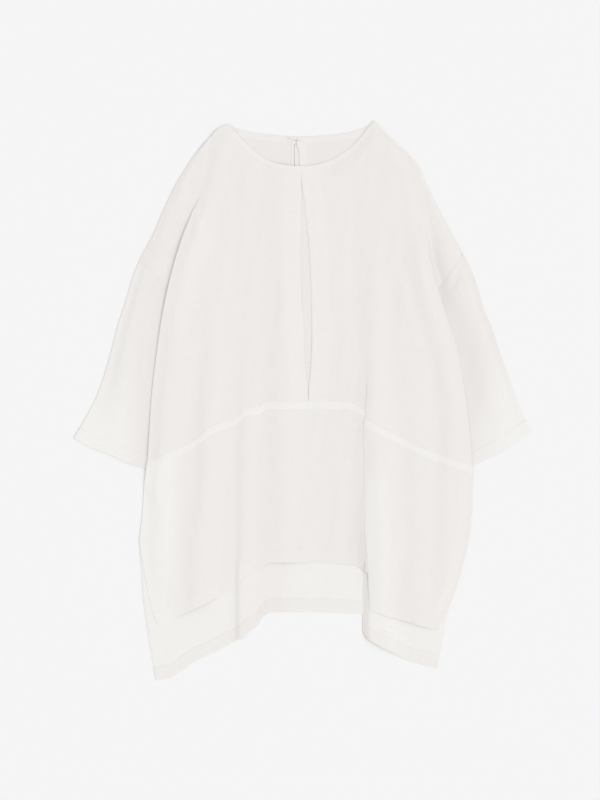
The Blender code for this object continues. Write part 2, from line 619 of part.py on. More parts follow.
def offset_edge(table, x, width):
    """The points of a table's curve and the same points moved down across it by the width."""
    y = curve(table, x)
    slope = curve(table, x + 0.5) - curve(table, x - 0.5)
    length = np.sqrt(1 + slope**2)
    moved = np.stack([x + width * slope / length, y - width / length], axis=-1)
    return np.stack([x, y], axis=-1), moved


def make_neck(look, collection):
    """Binding on the front neckline, and the band inside the back neck on both sides of its slit."""
    x = np.linspace(-106.0, 104.0, 25)
    edge, inside = offset_edge(FRONT_TOP, x, BINDING_WIDTH)
    strip_on("neck_binding_front", (edge, inside), above_front, look, collection)
    slit = curve(BACK_SLIT, 415.0, 1), curve(BACK_SLIT, 415.0, 2)
    spans = (("neck_facing_left", -100.0, slit[0] - 1.0), ("neck_facing_right", slit[1] + 1.0, 95.0))
    for name, start, end in spans:
        edge, inside = offset_edge(BACK_TOP, np.linspace(start, end, 10), NECK_FACING_WIDTH)
        strip_on(name, (edge, inside), above_back, look, collection)


def make_slit_facings(heights, look, collection):
    """The allowances turned back under the front beside its slit, made from the front's own points."""
    heights = heights.copy()
    heights[0] -= BINDING_WIDTH + 1.0
    heights[-1] += 1.0
    grid = points_of(front_section, heights)
    grid[..., 2] -= CLOTH / 2 + SEAM + TRIM / 2
    for name, first in (("slit_facing_left", SLIT_LEFT - 2), ("slit_facing_right", SLIT_RIGHT)):
        cloth(name, grid[:, first : first + 3], TRIM, look, collection)


def make_back_slit_hems(look, collection):
    """The turned edges of the back's slit, on its inner side, down to where the front hides them."""
    y = np.linspace(408.5, 368.0, 4)
    # Name, column of the edge in BACK_SLIT, which way the hem lies, width
    hems = (("back_slit_hem_left", 1, -1.0, 5.0), ("back_slit_hem_right", 2, 1.0, 11.5))
    for name, column, outward, width in hems:
        edge = np.stack([curve(BACK_SLIT, y, column) + 0.3 * outward, y], axis=-1)
        far = edge + np.array([width * outward, 0.0])
        sides = (far, edge) if outward < 0 else (edge, far)
        strip_on(name, sides, above_back, look, collection)


def wire(name, route, look, collection):
    """A bent wire through the points of its route."""
    line = bpy.data.curves.new(name, "CURVE")
    line.dimensions = "3D"
    line.bevel_depth = 0.45 * MM
    line.bevel_resolution = 1
    line.use_fill_caps = True
    spline = line.splines.new("POLY")
    spline.points.add(len(route) - 1)
    for point, place in zip(spline.points, route):
        point.co = (*((np.array(place) - MIDDLE) * MM), 1.0)
    made = bpy.data.objects.new(name, line)
    line.materials.append(look)
    collection.objects.link(made)


def make_closure(look, collection):
    """The hook, bent over the slit at its top, and the eye that it catches, both sewn to the neck's band."""
    low = ON_BACK + TRIM / 2 + SEAM + 0.45
    high = low + 1.3
    y = 416.0
    turn = np.radians(np.arange(0, 271, 45))
    loops = [(-21.0 - 1.7 * np.sin(a), y + 2.4 + 1.5 * np.cos(a), low) for a in turn[::-1]]
    far = [(-21.0 - 1.7 * np.sin(a), y - 2.4 - 1.5 * np.cos(a), low) for a in turn]
    tip = [(-12.0, y + 0.9, low), (-7.0, y + 0.9, high), (-0.5, y + 0.6, high), (-0.5, y - 0.6, high)]
    tip += [(-7.0, y - 0.9, high), (-12.0, y - 0.9, low)]
    wire("hook", loops + tip + far, look, collection)
    arc = np.radians(np.arange(-120, 121, 30))
    ring = [(2.0 - 4.2 * np.cos(a), y + 3.0 * np.sin(a), low) for a in arc]
    wire("eye", ring, look, collection)


def main():
    collection = clear_scene()
    linen = material("linen", LINEN, 0.9)
    band_linen = material("doubled_linen", BAND_LINEN, 0.9)
    metal = material("hook_metal", METAL, 0.35, 1.0)
    make_back(linen, collection)
    band, bodice_heights = make_bodice(linen, collection)
    make_skirt(band, linen, band_linen, collection)
    make_sleeve("sleeve_left", LEFT_SIDE, LEFT_ARM, ARMHOLE_LEFT, LEFT_CUFF, linen, collection)
    make_sleeve("sleeve_right", RIGHT_SIDE, RIGHT_ARM, ARMHOLE_RIGHT, RIGHT_CUFF, linen, collection)
    make_neck(band_linen, collection)
    make_slit_facings(bodice_heights, band_linen, collection)
    make_back_slit_hems(band_linen, collection)
    make_closure(metal, collection)


main()
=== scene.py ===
# %% [markdown]
# A linen tunic top, laid flat
#
# This lesson dresses a finished CAD model of a loose linen tunic with cloth, thread and metal. The real top is
# cut from a few flat panels, so each panel here is one function of two parameters: how far across the cloth,
# and how far down it. Everything else, such as hems, stitches and the shine of a hook, lies on those panels.

# %% Load the frame
import bpy
import numpy as np
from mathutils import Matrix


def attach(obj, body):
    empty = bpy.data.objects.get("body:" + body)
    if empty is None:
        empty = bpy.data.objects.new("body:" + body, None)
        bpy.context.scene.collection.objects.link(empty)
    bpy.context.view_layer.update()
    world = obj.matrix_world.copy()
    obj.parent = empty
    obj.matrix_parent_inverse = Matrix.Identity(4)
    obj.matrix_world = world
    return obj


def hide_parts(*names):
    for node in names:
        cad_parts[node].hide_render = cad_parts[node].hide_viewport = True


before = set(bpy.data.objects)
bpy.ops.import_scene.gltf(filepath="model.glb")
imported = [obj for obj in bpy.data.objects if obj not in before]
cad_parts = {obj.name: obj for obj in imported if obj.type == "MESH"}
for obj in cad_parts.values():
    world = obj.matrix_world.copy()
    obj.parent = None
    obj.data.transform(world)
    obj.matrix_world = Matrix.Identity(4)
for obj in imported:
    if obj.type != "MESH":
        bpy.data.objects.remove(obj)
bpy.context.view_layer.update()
print("nodes in the frame:", ", ".join(sorted(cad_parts)))

# %% [markdown]
# The view
#
# The photograph looks straight down on the garment, from about three metres above it. A long lens at that
# distance shows both hems at the same scale, as a copy stand does. A camera that stands in line with the
# world's axes needs no rotation at all: it already looks down, with +Y at the top of its picture.

# %% Camera
MM = 0.001
VIEW_HEIGHT = 3.02  # metres above the floor
VIEW_MIDDLE = (-0.0028, 0.0017)  # the point under the middle of the picture
LENS = 85.0
SENSOR = 36.0

camera_data = bpy.data.cameras.new("camera")
camera_data.lens = LENS
camera_data.sensor_width = SENSOR
camera = bpy.data.objects.new("camera", camera_data)
camera.location = (*VIEW_MIDDLE, VIEW_HEIGHT)
bpy.context.scene.collection.objects.link(camera)
bpy.context.scene.camera = camera
print("height of the picture on the floor in m:", round(VIEW_HEIGHT * SENSOR / LENS, 3))

# %% [markdown]
# The light
#
# White cloth on a white floor shows its folds only where less light reaches it. So most of the light comes
# from an even pale sky, which darkens grooves and seams. The rest comes from one wide soft source far away on
# the right, which gives each fold a lighter and a darker side. Being far away, it lights the whole floor alike.

# %% Light and floor
SKY_STRENGTH = 0.69
LAMP_POWER = 1.27
LAMP_SIZE = 60.0  # how wide the source looks, in degrees
LAMP_TILT = 24.0  # degrees from straight above
LAMP_TURN = -15.0  # degrees from +X towards +Y
FLOOR_SIZE = 9.0
FLOOR_DROP = 0.0003  # the floor lies this much below the cloth, so that the two never share a plane
FLOOR_COLOUR = (0.865, 0.865, 0.865, 1.0)

scene = bpy.context.scene
scene.view_settings.view_transform = "Standard"
scene.world = bpy.data.worlds.new("sky")
scene.world.use_nodes = True
scene.world.node_tree.nodes["Background"].inputs["Color"].default_value = (1.0, 1.0, 1.0, 1.0)
scene.world.node_tree.nodes["Background"].inputs["Strength"].default_value = SKY_STRENGTH

lamp_data = bpy.data.lights.new("lamp", "SUN")
lamp_data.angle = np.radians(LAMP_SIZE)
lamp_data.energy = LAMP_POWER
lamp = bpy.data.objects.new("lamp", lamp_data)
lamp.location = (1.5, 0.6, 2.2)
lamp.rotation_euler = (np.radians(LAMP_TILT), 0.0, np.radians(LAMP_TURN + 90.0))
scene.collection.objects.link(lamp)

floor_mesh = bpy.data.meshes.new("floor")
half = FLOOR_SIZE / 2
corners = [(x * half, y * half, -FLOOR_DROP) for x, y in ((-1, -1), (1, -1), (1, 1), (-1, 1))]
floor_mesh.from_pydata(corners, [], [(0, 1, 2, 3)])
floor = bpy.data.objects.new("floor", floor_mesh)
scene.collection.objects.link(floor)
lamp_share = LAMP_POWER * np.cos(np.radians(LAMP_TILT)) / np.pi
print("the lamp gives", round(lamp_share / (lamp_share + SKY_STRENGTH), 2), "of the light on the floor")

# %% [markdown]
# A curve through a short table
#
# A pattern cutter draws a long edge by marking a few points and laying a bent ruler through them. The function
# below is that ruler. It never swings past a mark, which matters along a seam: an overshoot would show as a
# bump that the cloth doesn't have.


# %% Curves
def smooth_step(share):
    """0 below 0, 1 above 1, and 3 s^2 - 2 s^3 between, which starts and ends level."""
    share = np.clip(share, 0.0, 1.0)
    return share * share * (3.0 - 2.0 * share)


def curve(table, at, column=1):
    """A cubic through the table's rows. Each row's slope is the harmonic mean of the slopes beside it, or 0
    where they differ in sign, so that the curve stays between its marks."""
    rows = np.array(sorted(table))
    x, y = rows[:, 0], rows[:, column]
    step = np.diff(x)
    slope = np.diff(y) / step
    tangent = np.zeros(len(x))
    same_way = slope[:-1] * slope[1:] > 0
    harmonic = 2.0 * slope[:-1] * slope[1:] / np.where(same_way, slope[:-1] + slope[1:], 1.0)
    tangent[1:-1] = np.where(same_way, harmonic, 0.0)
    tangent[0], tangent[-1] = slope[0], slope[-1]
    at = np.clip(at, x[0], x[-1])
    i = np.clip(np.searchsorted(x, at, side="right") - 1, 0, len(step) - 1)
    t = (at - x[i]) / step[i]
    rise = t * t * (3.0 - 2.0 * t)
    start = t * (1.0 - t) ** 2 * step[i] * tangent[i]
    end = t * t * (t - 1.0) * step[i] * tangent[i + 1]
    return y[i] * (1.0 - rise) + y[i + 1] * rise + start + end


print("a curve through (0, 0), (1, 1), (2, 1) at 1.5 stays at", curve(((0, 0), (1, 1), (2, 1)), 1.5))

# %% [markdown]
# The outline
#
# These tables hold the edges of the garment as it lies, in millimetres. They are the same edges as those of
# the CAD model, because the cloth has to fill the solids that it stands for. The first column is the one that
# the curve runs along: the height y for upright edges, and x for edges that run across.

# %% Edges of the garment
MIDDLE = np.array((-0.4, -0.9, 0.0))  # middle of the outline in the tables' frame, which becomes the origin

# Body over the left sleeve, then the left side and the front's vent edge: y, x
LEFT_SIDE = (
    (425, -144), (384.8, -152), (346.4, -161.6), (301.6, -176), (253.6, -193.6),
    (192.8, -211.2), (132, -224), (88.8, -230.4), (8.8, -240), (-63.2, -244.8),
    (-95, -246.8), (-114, -249.4), (-140, -252.6), (-181.6, -255.4), (-226.4, -259.6), (-248.8, -256.6),
    (-319.2, -243.2), (-364, -230.4),
)
RIGHT_SIDE = (
    (390.6, 171), (336.8, 185.6), (288.8, 197.9), (234.4, 202.6), (197.6, 211.2),
    (144.8, 227.2), (111.2, 239), (72.8, 249.6), (24.8, 257.6), (-31.2, 265.6),
    (-111.2, 271.4), (-159.2, 272), (-213.6, 267.2), (-264.8, 256), (-303.2, 244.8),
    (-343.2, 227.2), (-368.8, 216),
)
# The back's own side edges below the waist: y, x
LEFT_BACK_EDGE = (
    (-114, -249.4), (-140, -252.6), (-181.6, -255.4), (-226.4, -260.4), (-264.8, -257.2), (-303.2, -255.2),
    (-367.2, -247), (-405.6, -240.8), (-447.2, -233.6),
)
RIGHT_BACK_EDGE = (
    (-111.2, 271.4), (-159.2, 272), (-213.6, 267.2), (-264.8, 256), (-303.2, 244.8),
    (-341.6, 232), (-392.8, 222.4), (-428, 216),
)
# Shoulder and upper edge of the arm: y, x
LEFT_ARM = (
    (425, -144), (400.8, -166), (375.2, -183.4), (349.6, -199.2), (311.2, -218),
    (260, -240.4), (221.6, -260.8), (196, -270.8), (157.6, -282), (119.2, -294.8),
    (80.8, -304.4), (42.4, -315.6), (4, -330), (-21.6, -344.6), (-60, -365.6),
)
RIGHT_ARM = (
    (390.6, 171), (375.2, 186.2), (349.6, 196.8), (324, 209.6), (298.4, 222.4),
    (260, 243.2), (234.4, 257.5), (208.8, 270.4), (183.2, 280), (144.8, 291.2),
    (119.2, 302.4), (80.8, 315.2), (42.4, 329.6), (4, 344), (-47.2, 366.4),
)
# Shoulders and necklines: x, y
FRONT_TOP = (
    (-144, 425), (-131.2, 436), (-118.4, 440.8), (-107, 430), (-91, 412.8),
    (-72, 395.5), (-53, 383.5), (-32, 377.3), (-8, 374.7), (13, 375.5), (37, 380.8),
    (61, 392.8), (80, 407.5), (96, 424), (109, 440.5), (115, 447), (123.2, 437.6),
    (148.8, 410.4), (171, 390.6),
)
BACK_TOP = (
    (-144, 425), (-131.2, 436), (-118.4, 440.8), (-104, 435), (-88, 430.5),
    (-48, 424.8), (-8, 421.8), (28.8, 423.2), (60.8, 426.3), (96, 434.8), (108, 441.5),
    (115, 447), (123.2, 437.6), (148.8, 410.4), (171, 390.6),
)
# Middle of the waist band: x, y, on either side of the skirt's fold
BAND_LEFT = (
    (-256, -107), (-227, -95.2), (-176, -71.2), (-144, -47.2), (-104, -31.2),
    (-91.2, -19), (-68.8, -15.2), (-59.2, -8.8), (-20, -7.2), (64, -7.2), (97, -19),
)
BAND_RIGHT = ((99.0, -36.0), (144.0, -58.4), (184.0, -79.2), (224.0, -95.2), (272.0, -111.0))
# Lower edges: x, y, on either side of the skirt's fold
FRONT_HEM_LEFT = (
    (-230.4, -364), (-195, -344.8), (-147, -320.8), (-104, -301.6), (-94.4, -284),
    (-83, -277.6), (-64, -267), (-49.6, -259.2), (45, -260.6), (84, -263.6), (92, -267),
    (105, -276),
)
FRONT_HEM_RIGHT = ((106.0, -335.0), (124.0, -341.0), (153.6, -350.0), (188.8, -360.0), (216.0, -368.8))
BACK_HEM_LEFT = (
    (-233.6, -447.2), (-212.8, -444), (-176, -420), (-124.8, -394.4), (-99.2, -380),
    (-86.4, -367.2), (-73.6, -361.4), (-61, -344.5), (-48, -338.4), (3.2, -337.6),
    (100, -341),
)
BACK_HEM_RIGHT = (
    (97, -369), (100, -376), (106, -381.6), (117, -388.6), (144, -402.4), (169.6, -415.6),
    (216, -428),
)
# Cuffs: x, y
LEFT_CUFF = ((-365.6, -60.0), (-342.0, -73.4), (-304.0, -88.2), (-278.0, -100.6), (-240.0, -112.0))
RIGHT_CUFF = ((255.0, -112.0), (271.4, -104.8), (310.4, -84.0), (348.8, -60.0), (366.4, -47.2))
# Slits: y, x of the left edge, x of the right edge
FRONT_SLIT = (
    (447, -0.86, -0.76), (354, -0.86, -0.76), (310, -1.9, 4.6), (230, -2.2, 12.3),
    (142, -0.5, 15.5), (102, 3.5, 16), (56.8, 4.8, 14.3), (4, 10.05, 10.35),
    (-40, 10.05, 10.35),
)
BACK_SLIT = (
    (430, -8.5, -8.1), (412.5, -9.2, -8.8), (408.5, -12.6, -8), (399, -13, -5.4), (390, -12.9, -4.4),
    (376, -12.4, -4),
    (330, -11, -5), (305, -10, -6), (-450, -10, -6),
)
BACK_SLIT_END = 312.0
ARMHOLE_LEFT = ((-261.2, 220.8), (-212.6, 185.0))
ARMHOLE_RIGHT = ((257.5, 234.4), (212.0, 172.0))
print("centre-back length as it lies, in mm:", 421.8 + 337.6)

# %% [markdown]
# The folds
#
# A garment that is dropped on a table and smoothed keeps a few large folds. Two of them are knife folds: the
# cloth goes under, turns back, and turns forward again, so three layers lie on each other. At the sides the
# body lies in such a fold over each sleeve. Another runs down the skirt right of the centre, and left of the
# centre the cloth stands in a sharp ridge. The rest are soft swells, and a bell curve across each is enough.

# %% Folds
LAYER_STEP = 2.1  # height from one layer of a knife fold to the next
FLAT_SPREAD = 10.0  # width that a fold's points take where it has faded out
SIDE_DEPTH = 14.0  # how far the body's edge is turned under above the sleeves
PAST_TURN = 3.0
OVER_SLOPE = 34.0
SKIRT_SLOPE = 42.0
TURN_SHARE = 0.34  # share of a fold's columns that each of its two turns takes

FRONT_EDGE = 0.85
OVER_SLEEVE = 2.6
FRONT_INSIDE = 3.5
FRONT_LOW = 1.1  # height of the front along its neckline and its hem, where it lies close on the back
NECK_RISE = 1.3  # how much higher the neckline lies at the centre
NECK_REACH = 34.0
LOW_REACH = 34.0
EDGE_SLOPE = 22.0
SKIRT_SPREAD = 24.0  # how much wider the slope at the left edge is below the waist
SLEEVE_PUFF = {"left": 2.2, "right": 4.0}
SLEEVE_BEND = 0.35
ARM_EDGE = 0.9  # height of the upper layer at the arm's outer edge
SLEEVE_TUCK = 8.0
BACK_CLEAR = 1.6

# The skirt's fold and the back's: y, edge x, how far it has formed, depth turned under
FRONT_FOLD = (
    (450, 92, 0, 14), (240, 95, 0, 14), (60, 98, 0, 14),
    (0, 98, 0.5, 16), (-60, 97.8, 1, 20), (-150, 98.6, 1, 24), (-200, 99.6, 1, 24),
    (-240, 102.4, 1, 22), (-274, 105, 1, 20), (-303, 106.2, 1, 18),
    (-345, 108.8, 1, 16),
)
# A pressed fold stands lower than a loose one: y, share of the height at its edge, share behind it
FULLNESS = (
    (0, 0.16, 0.34), (-100, 0.1, 0.28), (-160, 0.08, 0.26), (-200, 0.12, 0.26), (-225, 0.2, 0.3),
    (-262, 0.2, 0.3), (-278, 0.06, 0.22), (-450, 0.05, 0.2),
)
BULGE_REACH = 11.0
HEM_PRESSED = 0.8  # share of its height that the skirt's fold has lost at the hem
BACK_FOLD = (
    (450, 97, 0, 20), (-170, 97, 0, 20), (-255, 97, 1, 24),
    (-345, 97, 1, 28), (-400, 97.4, 1, 28),
)
# The back's fold is a roll: share of its height at its edge and behind the roll, and the roll's width
ROLL_START = 0.04
ROLL_FULL = 1.0
ROLL_REACH = 8.5
# How high the front rises towards the skirt's fold, pushed up by the layers under it: y, height
FRONT_RISE = (
    (60, 0), (10, 1), (-30, 1.4), (-110, 1.8), (-160, 2.6), (-200, 3.3), (-223, 3.4), (-250, 2.7),
    (-284, 0.7), (-301, 0.4), (-318, 1.1), (-335, 2.2), (-450, 2.2),
)
RISE_REACH = 28.0
RISE_LEVEL = 31.0
# Where the sides are folded over the sleeves: y, how far the left and right folds have formed
SIDE_FOLDING = (
    (450, 0, 0), (346, 0, 0), (300, 0.35, 0), (250, 1, 0.4),
    (200, 1, 1), (-112, 1, 1), (-160, 0, 0), (-450, 0, 0),
)
# The sharp ridge left of the centre: y, height on the front, height on the back
RIDGE_HEIGHT = (
    (450, 0, 0), (60, 0.5, 0), (-30, 1.3, 0), (-160, 1.4, 0),
    (-260, 2.2, 2), (-290, 3.2, 2.6), (-450, 3, 3),
)
RIDGE_FOOT = -108.0
RIDGE_FLANK = ((450.0, 20.0), (0.0, 17.0), (-200.0, 14.0), (-290.0, 9.0), (-450.0, 10.0))  # y, width
RIDGE_FALL = 32.0
# Each side fold stands higher near the armhole: y, factor on the left, factor on the right
SIDE_PUFF = (
    (300, 0.9, 0.8), (240, 1.5, 0.9), (190, 1.4, 0.8), (120, 0.9, 0.5), (20, 0.54, 0.45),
    (-98, 0.42, 0.4), (-126, 0.18, 0.2), (-160, 0.15, 0.15),
)
# Soft folds of the front: x at the neck, waist and hem, half width, height at neck, waist and hem
SOFT_FOLDS = (
    (-150, -205, -244, 23, 1, 2, 2.5),
    (-118, -148, -169, 19, 0.5, 2.5, 4.5),
    (-28, -29, -31, 22, 1.2, 2.6, 3.4),
    (100, 98, 100, 30, 0, 1.4, 0.6),
    (118, 120, 128, 18, 0.5, 3.5, 2.5),
    (150, 175, 182, 24, 1, 2.5, 3),
    (180, 232, 225, 15, 0.5, 2, 1.5),
)
SOFT_LEVELS = (300.0, -20.0, -350.0)


def raised(formed):
    """Share of a fold's height: 1 - (1 - f)^3, so its layers part before they lie on each other."""
    return 1.0 - (1.0 - formed) ** 3


def fold_curve(share, formed, depth):
    """Across and up, for a share from 0 to 1 along the S of a knife fold.

    A half circle turns back at the depth, a straight layer runs to the edge, and a half circle turns forward
    again: across = depth + r sin a, then a line, then r - r sin b; up = r (1 - cos a), then the step, and on.
    Where the fold isn't formed the same points lie side by side on the flat, and between they are mixed.
    """
    r = LAYER_STEP / 2
    a = np.clip(share / TURN_SHARE, 0.0, 1.0) * np.pi
    b = np.clip((share - 1.0 + TURN_SHARE) / TURN_SHARE, 0.0, 1.0) * np.pi
    along = np.clip((share - TURN_SHARE) / (1.0 - 2.0 * TURN_SHARE), 0.0, 1.0)
    across = depth + r * np.sin(a) + (r - depth) * along - r * np.sin(b)
    up = r * (1.0 - np.cos(a)) + r * (1.0 - np.cos(b))
    return FLAT_SPREAD * share * (1.0 - formed) + across * formed, up * raised(formed)


def over_lift(distance, formed, depth, slope):
    """Height of a fold's upper layer: level over the turned layer, then down a smooth step over the slope."""
    start = (depth + PAST_TURN) * formed
    return 2.0 * LAYER_STEP * raised(formed) * (1.0 - smooth_step((distance - start) / slope))


def bulged(distance, y):
    """Share of a pressed fold's height. Its edge is rolled: e + (b - e) (1 - (1 - t)^3) over the bulge's reach."""
    at_edge, behind = curve(FULLNESS, y, 1), curve(FULLNESS, y, 2)
    return at_edge + (behind - at_edge) * (1.0 - (1.0 - np.clip(distance / BULGE_REACH, 0.0, 1.0)) ** 3)


def half_open(formed):
    """How far the edge of a fold draws back while it opens: the least of the points' way across."""
    share = np.linspace(0.0, 1.0, 31)
    formed = np.asarray(formed)[..., None]
    return fold_curve(share, formed, SIDE_DEPTH)[0].min(axis=-1)


def kept_at_hem(y):
    """Share of the skirt's fold that is left: less and less over the last 40 mm above the hem."""
    return 1.0 - HEM_PRESSED * smooth_step((-285.0 - y) / 40.0)


def skirt_lift(distance, y, formed, depth):
    """What the skirt's fold adds to the front's height."""
    return over_lift(distance, formed, depth, SKIRT_SLOPE) * bulged(distance, y) * kept_at_hem(y)


def rolled(distance):
    """Share of the back fold's height: it rises evenly from the edge over the roll's width."""
    return ROLL_START + (ROLL_FULL - ROLL_START) * np.clip(distance / ROLL_REACH, 0.0, 1.0)


def fold_rise(x, y):
    """How far the front rises towards the edge of the skirt's fold, on the layers that lie under it.

    Up to the edge it is a smooth step of t^2, steepest just before the edge. Then it is level, and then falls.
    """
    far = x - curve(FRONT_FOLD, y, 1)
    before = smooth_step(np.clip(far / RISE_REACH + 1.0, 0.0, 1.0) ** 2)
    behind = 1.0 - smooth_step((far - RISE_LEVEL) / SKIRT_SLOPE)
    return before * behind * curve(FRONT_RISE, y)


def ridge(x, y, column):
    """The ridge: a steep step up at its foot and a long smooth step down behind it."""
    flank = curve(RIDGE_FLANK, y)
    up = smooth_step((x - RIDGE_FOOT) / flank)
    down = 1.0 - smooth_step((x - RIDGE_FOOT - flank) / RIDGE_FALL)
    return up * down * curve(RIDGE_HEIGHT, y, column)


def soft_fold(fold, x, y):
    """One soft fold: a bell h exp(-(d / w)^2) across, whose middle and height drift down the cloth."""
    neck, waist, hem, half_width, *heights = fold
    middle = curve(tuple(zip(SOFT_LEVELS, (neck, waist, hem))), y)
    height = curve(tuple(zip(SOFT_LEVELS, heights)), y)
    return height * np.exp(-(((x - middle) / half_width) ** 2))


def soft_folds(x, y):
    """The sum of the soft folds."""
    total = np.zeros(np.broadcast(x, y).shape)
    for fold in SOFT_FOLDS:
        total += soft_fold(fold, x, y)
    return total


share = np.linspace(0.0, 1.0, 5)
print("a formed fold, across and up in mm:", *np.round(fold_curve(share, 1.0, 20.0), 1))

# %% [markdown]
# Small creases and the cloth's own unevenness
#
# Linen never lies quite level. It keeps a few short creases from handling, and between them it waves by a
# fraction of a millimetre. The creases are listed one by one. The waves are a sum of sines whose crests run down
# the cloth, as hanging left them. It costs nothing, it has no grid of its own, and with a fixed seed it comes
# out the same each time.

# %% Creases
CREASE_SEED = 7
WAVE_COUNT = 30
WAVE_LENGTHS = (16.0, 70.0)
WAVE_SPREAD = 0.16  # how far a wave's direction may turn from straight across, in radians
WAVE_SLOPE = 0.006  # height of a wave as a share of its length

# Short creases: x and y of both ends, half width, height (a groove is negative)
CREASES = (
    (-149.5, 405.0, -148.5, 392.0, 2.2, -0.9),
    (-176.0, 300.0, -160.0, 250.0, 7.0, 0.7),
    (205.0, 250.0, 228.0, 150.0, 9.0, -1.4),
    (150.0, 210.0, 196.0, 60.0, 11.0, 0.8),
    (-40.0, 330.0, -30.0, 60.0, 9.0, 0.5),
    (256.0, 216.0, 238.0, 178.0, 5.0, -1.5),
    (252.0, 236.0, 258.0, 232.0, 2.5, -1.2),
    (203.0, 288.0, 222.0, 170.0, 10.0, -1.6),
    (190.0, 190.0, 206.0, 90.0, 12.0, 1.5),
)

random = np.random.default_rng(CREASE_SEED)
wave_angle = random.normal(0.0, WAVE_SPREAD, WAVE_COUNT)
wave_length = random.uniform(*WAVE_LENGTHS, WAVE_COUNT)
wave_shift = random.uniform(0.0, 2.0 * np.pi, WAVE_COUNT)


def waves(x, y):
    """A sum of sines: each runs its own way, slope length sin(2 pi (x cos a + y sin a) / length + shift)."""
    total = np.zeros(np.broadcast(x, y).shape)
    for angle, length, shift in zip(wave_angle, wave_length, wave_shift):
        along = x * np.cos(angle) + y * np.sin(angle)
        total += WAVE_SLOPE * length * np.sin(2.0 * np.pi * along / length + shift) / np.sqrt(WAVE_COUNT)
    return total


def creases(x, y):
    """Each crease is a bell across its line, faded by a smooth step over its first and last third."""
    total = np.zeros(np.broadcast(x, y).shape)
    for x0, y0, x1, y1, half_width, height in CREASES:
        run = np.hypot(x1 - x0, y1 - y0)
        along = ((x - x0) * (x1 - x0) + (y - y0) * (y1 - y0)) / run**2
        across = ((x - x0) * (y1 - y0) - (y - y0) * (x1 - x0)) / run
        fade = smooth_step((along + 0.3) / 0.6) * smooth_step((1.3 - along) / 0.6)
        total += height * fade * np.exp(-((across / half_width) ** 2))
    return total


sample = np.meshgrid(np.linspace(-200, 200, 81), np.linspace(-300, 300, 121))
print("the waves move the cloth by", round(float(np.abs(waves(*sample)).max()), 2), "mm at most")

# %% [markdown]
# The height of the front
#
# At its edges the front lies on the back or on a sleeve. Inside them it is held up a little by the seams under
# it, and the folds add to that. One function gives the whole height, so that everything that lies on the front
# later, such as the waist band, can ask it where the cloth is.


# %% Height of the front
def from_side(x, y):
    """How far a point of the front lies inside the body's left and right edge."""
    return x - curve(LEFT_SIDE, y), curve(RIGHT_SIDE, y) - x


def front_base(x, y):
    """Height of the front before its own knife folds are added."""
    left, right = from_side(x, y)
    left_slope = EDGE_SLOPE + SKIRT_SPREAD * smooth_step((-140.0 - y) / 60.0)
    inside = smooth_step(np.minimum(left / left_slope, right / EDGE_SLOPE))
    at_edge = FRONT_EDGE + (OVER_SLEEVE - FRONT_EDGE) * smooth_step((y + 150.0) / 38.0)
    hem_y = np.where(x < 100.0, curve(FRONT_HEM_LEFT, x), curve(FRONT_HEM_RIGHT, x))
    from_ends = np.minimum(curve(FRONT_TOP, x) - y, y - hem_y)
    low = FRONT_LOW + NECK_RISE * np.exp(-((x / NECK_REACH) ** 2)) * smooth_step((y - 300.0) / 40.0)
    middle_level = low + (FRONT_INSIDE - low) * smooth_step(from_ends / LOW_REACH)
    level = at_edge + (middle_level - at_edge) * inside
    swell = soft_folds(x, y) + waves(x, y) + creases(x, y)
    return level + swell * inside + ridge(x, y, 1) + fold_rise(x, y)


def side_lift(x, y):
    """What the folds at both sides add to the front's height."""
    left, right = from_side(x, y)
    on_left = over_lift(left, curve(SIDE_FOLDING, y, 1), SIDE_DEPTH, OVER_SLOPE) * curve(SIDE_PUFF, y, 1)
    on_right = over_lift(right, curve(SIDE_FOLDING, y, 2), SIDE_DEPTH, OVER_SLOPE) * curve(SIDE_PUFF, y, 2)
    return on_left + on_right


def front_height(x, y):
    """Height of the visible layer of the front, between the side folds."""
    edge, formed, depth = (curve(FRONT_FOLD, y, column) for column in (1, 2, 3))
    on_top = np.where(x > edge, skirt_lift(x - edge, y, formed, depth), 0.0)
    return front_base(x, y) + side_lift(x, y) + on_top


def arm_height(x, y, side, arm):
    """Height of the upper layer of the arm: level under the body, and puffed out by sin^2 beside it."""
    inner, outer = curve(side, y), curve(arm, y)
    share = np.clip((x - inner) / np.where(outer == inner, 1.0, outer - inner), 0.0, 1.0)
    puff = SLEEVE_PUFF["left" if side is LEFT_SIDE else "right"]
    puff = puff * np.sin(np.pi * share) ** 2 * smooth_step((300.0 - y) / 120.0)
    level = OVER_SLEEVE - (OVER_SLEEVE - ARM_EDGE) * smooth_step((share - 0.7) / 0.3)
    return level + puff + waves(x, y) * np.sin(np.pi * share) + creases(x, y)


print("height of the front at the middle of the waist, in mm:", round(float(front_height(0.0, -7.0)), 2))

# %% [markdown]
# The front as a grid
#
# The front's grid has columns that run down the cloth, and each belongs to one stretch: the arm, the turned
# fold at the side, the ridge, and so on. A column knows its place as a share of its stretch, so the grid stays
# in order when the edges bend. Rows are free: each column may be asked for any height, which is how a seam or
# a hem that slants becomes one clean row of points.

# %% Columns of the front
# Stretch of the front, number of columns
FRONT_STRETCHES = (
    ("arm_left", 14), ("turn_left", 25), ("side_left", 44), ("ridge", 28), ("slit_left", 24),
    ("slit_right", 44), ("turn_skirt", 27), ("side_right", 50), ("turn_right", 25), ("arm_right", 14),
)
RIDGE_END = -64.0
ARM_LAST = 0.12  # share of the arm's width at which the cloth goes under the body


def columns_of(stretches):
    """The slice of columns of each stretch, and how many there are in all."""
    ends = np.cumsum([0] + [count for _, count in stretches])
    return {name: slice(a, b) for (name, _), a, b in zip(stretches, ends, ends[1:])}, int(ends[-1])


def stretch(y, start, end, share):
    """x on the way from one edge to another: start + (end - start) share, at the heights y."""
    return start + (end - start) * share + 0.0 * y


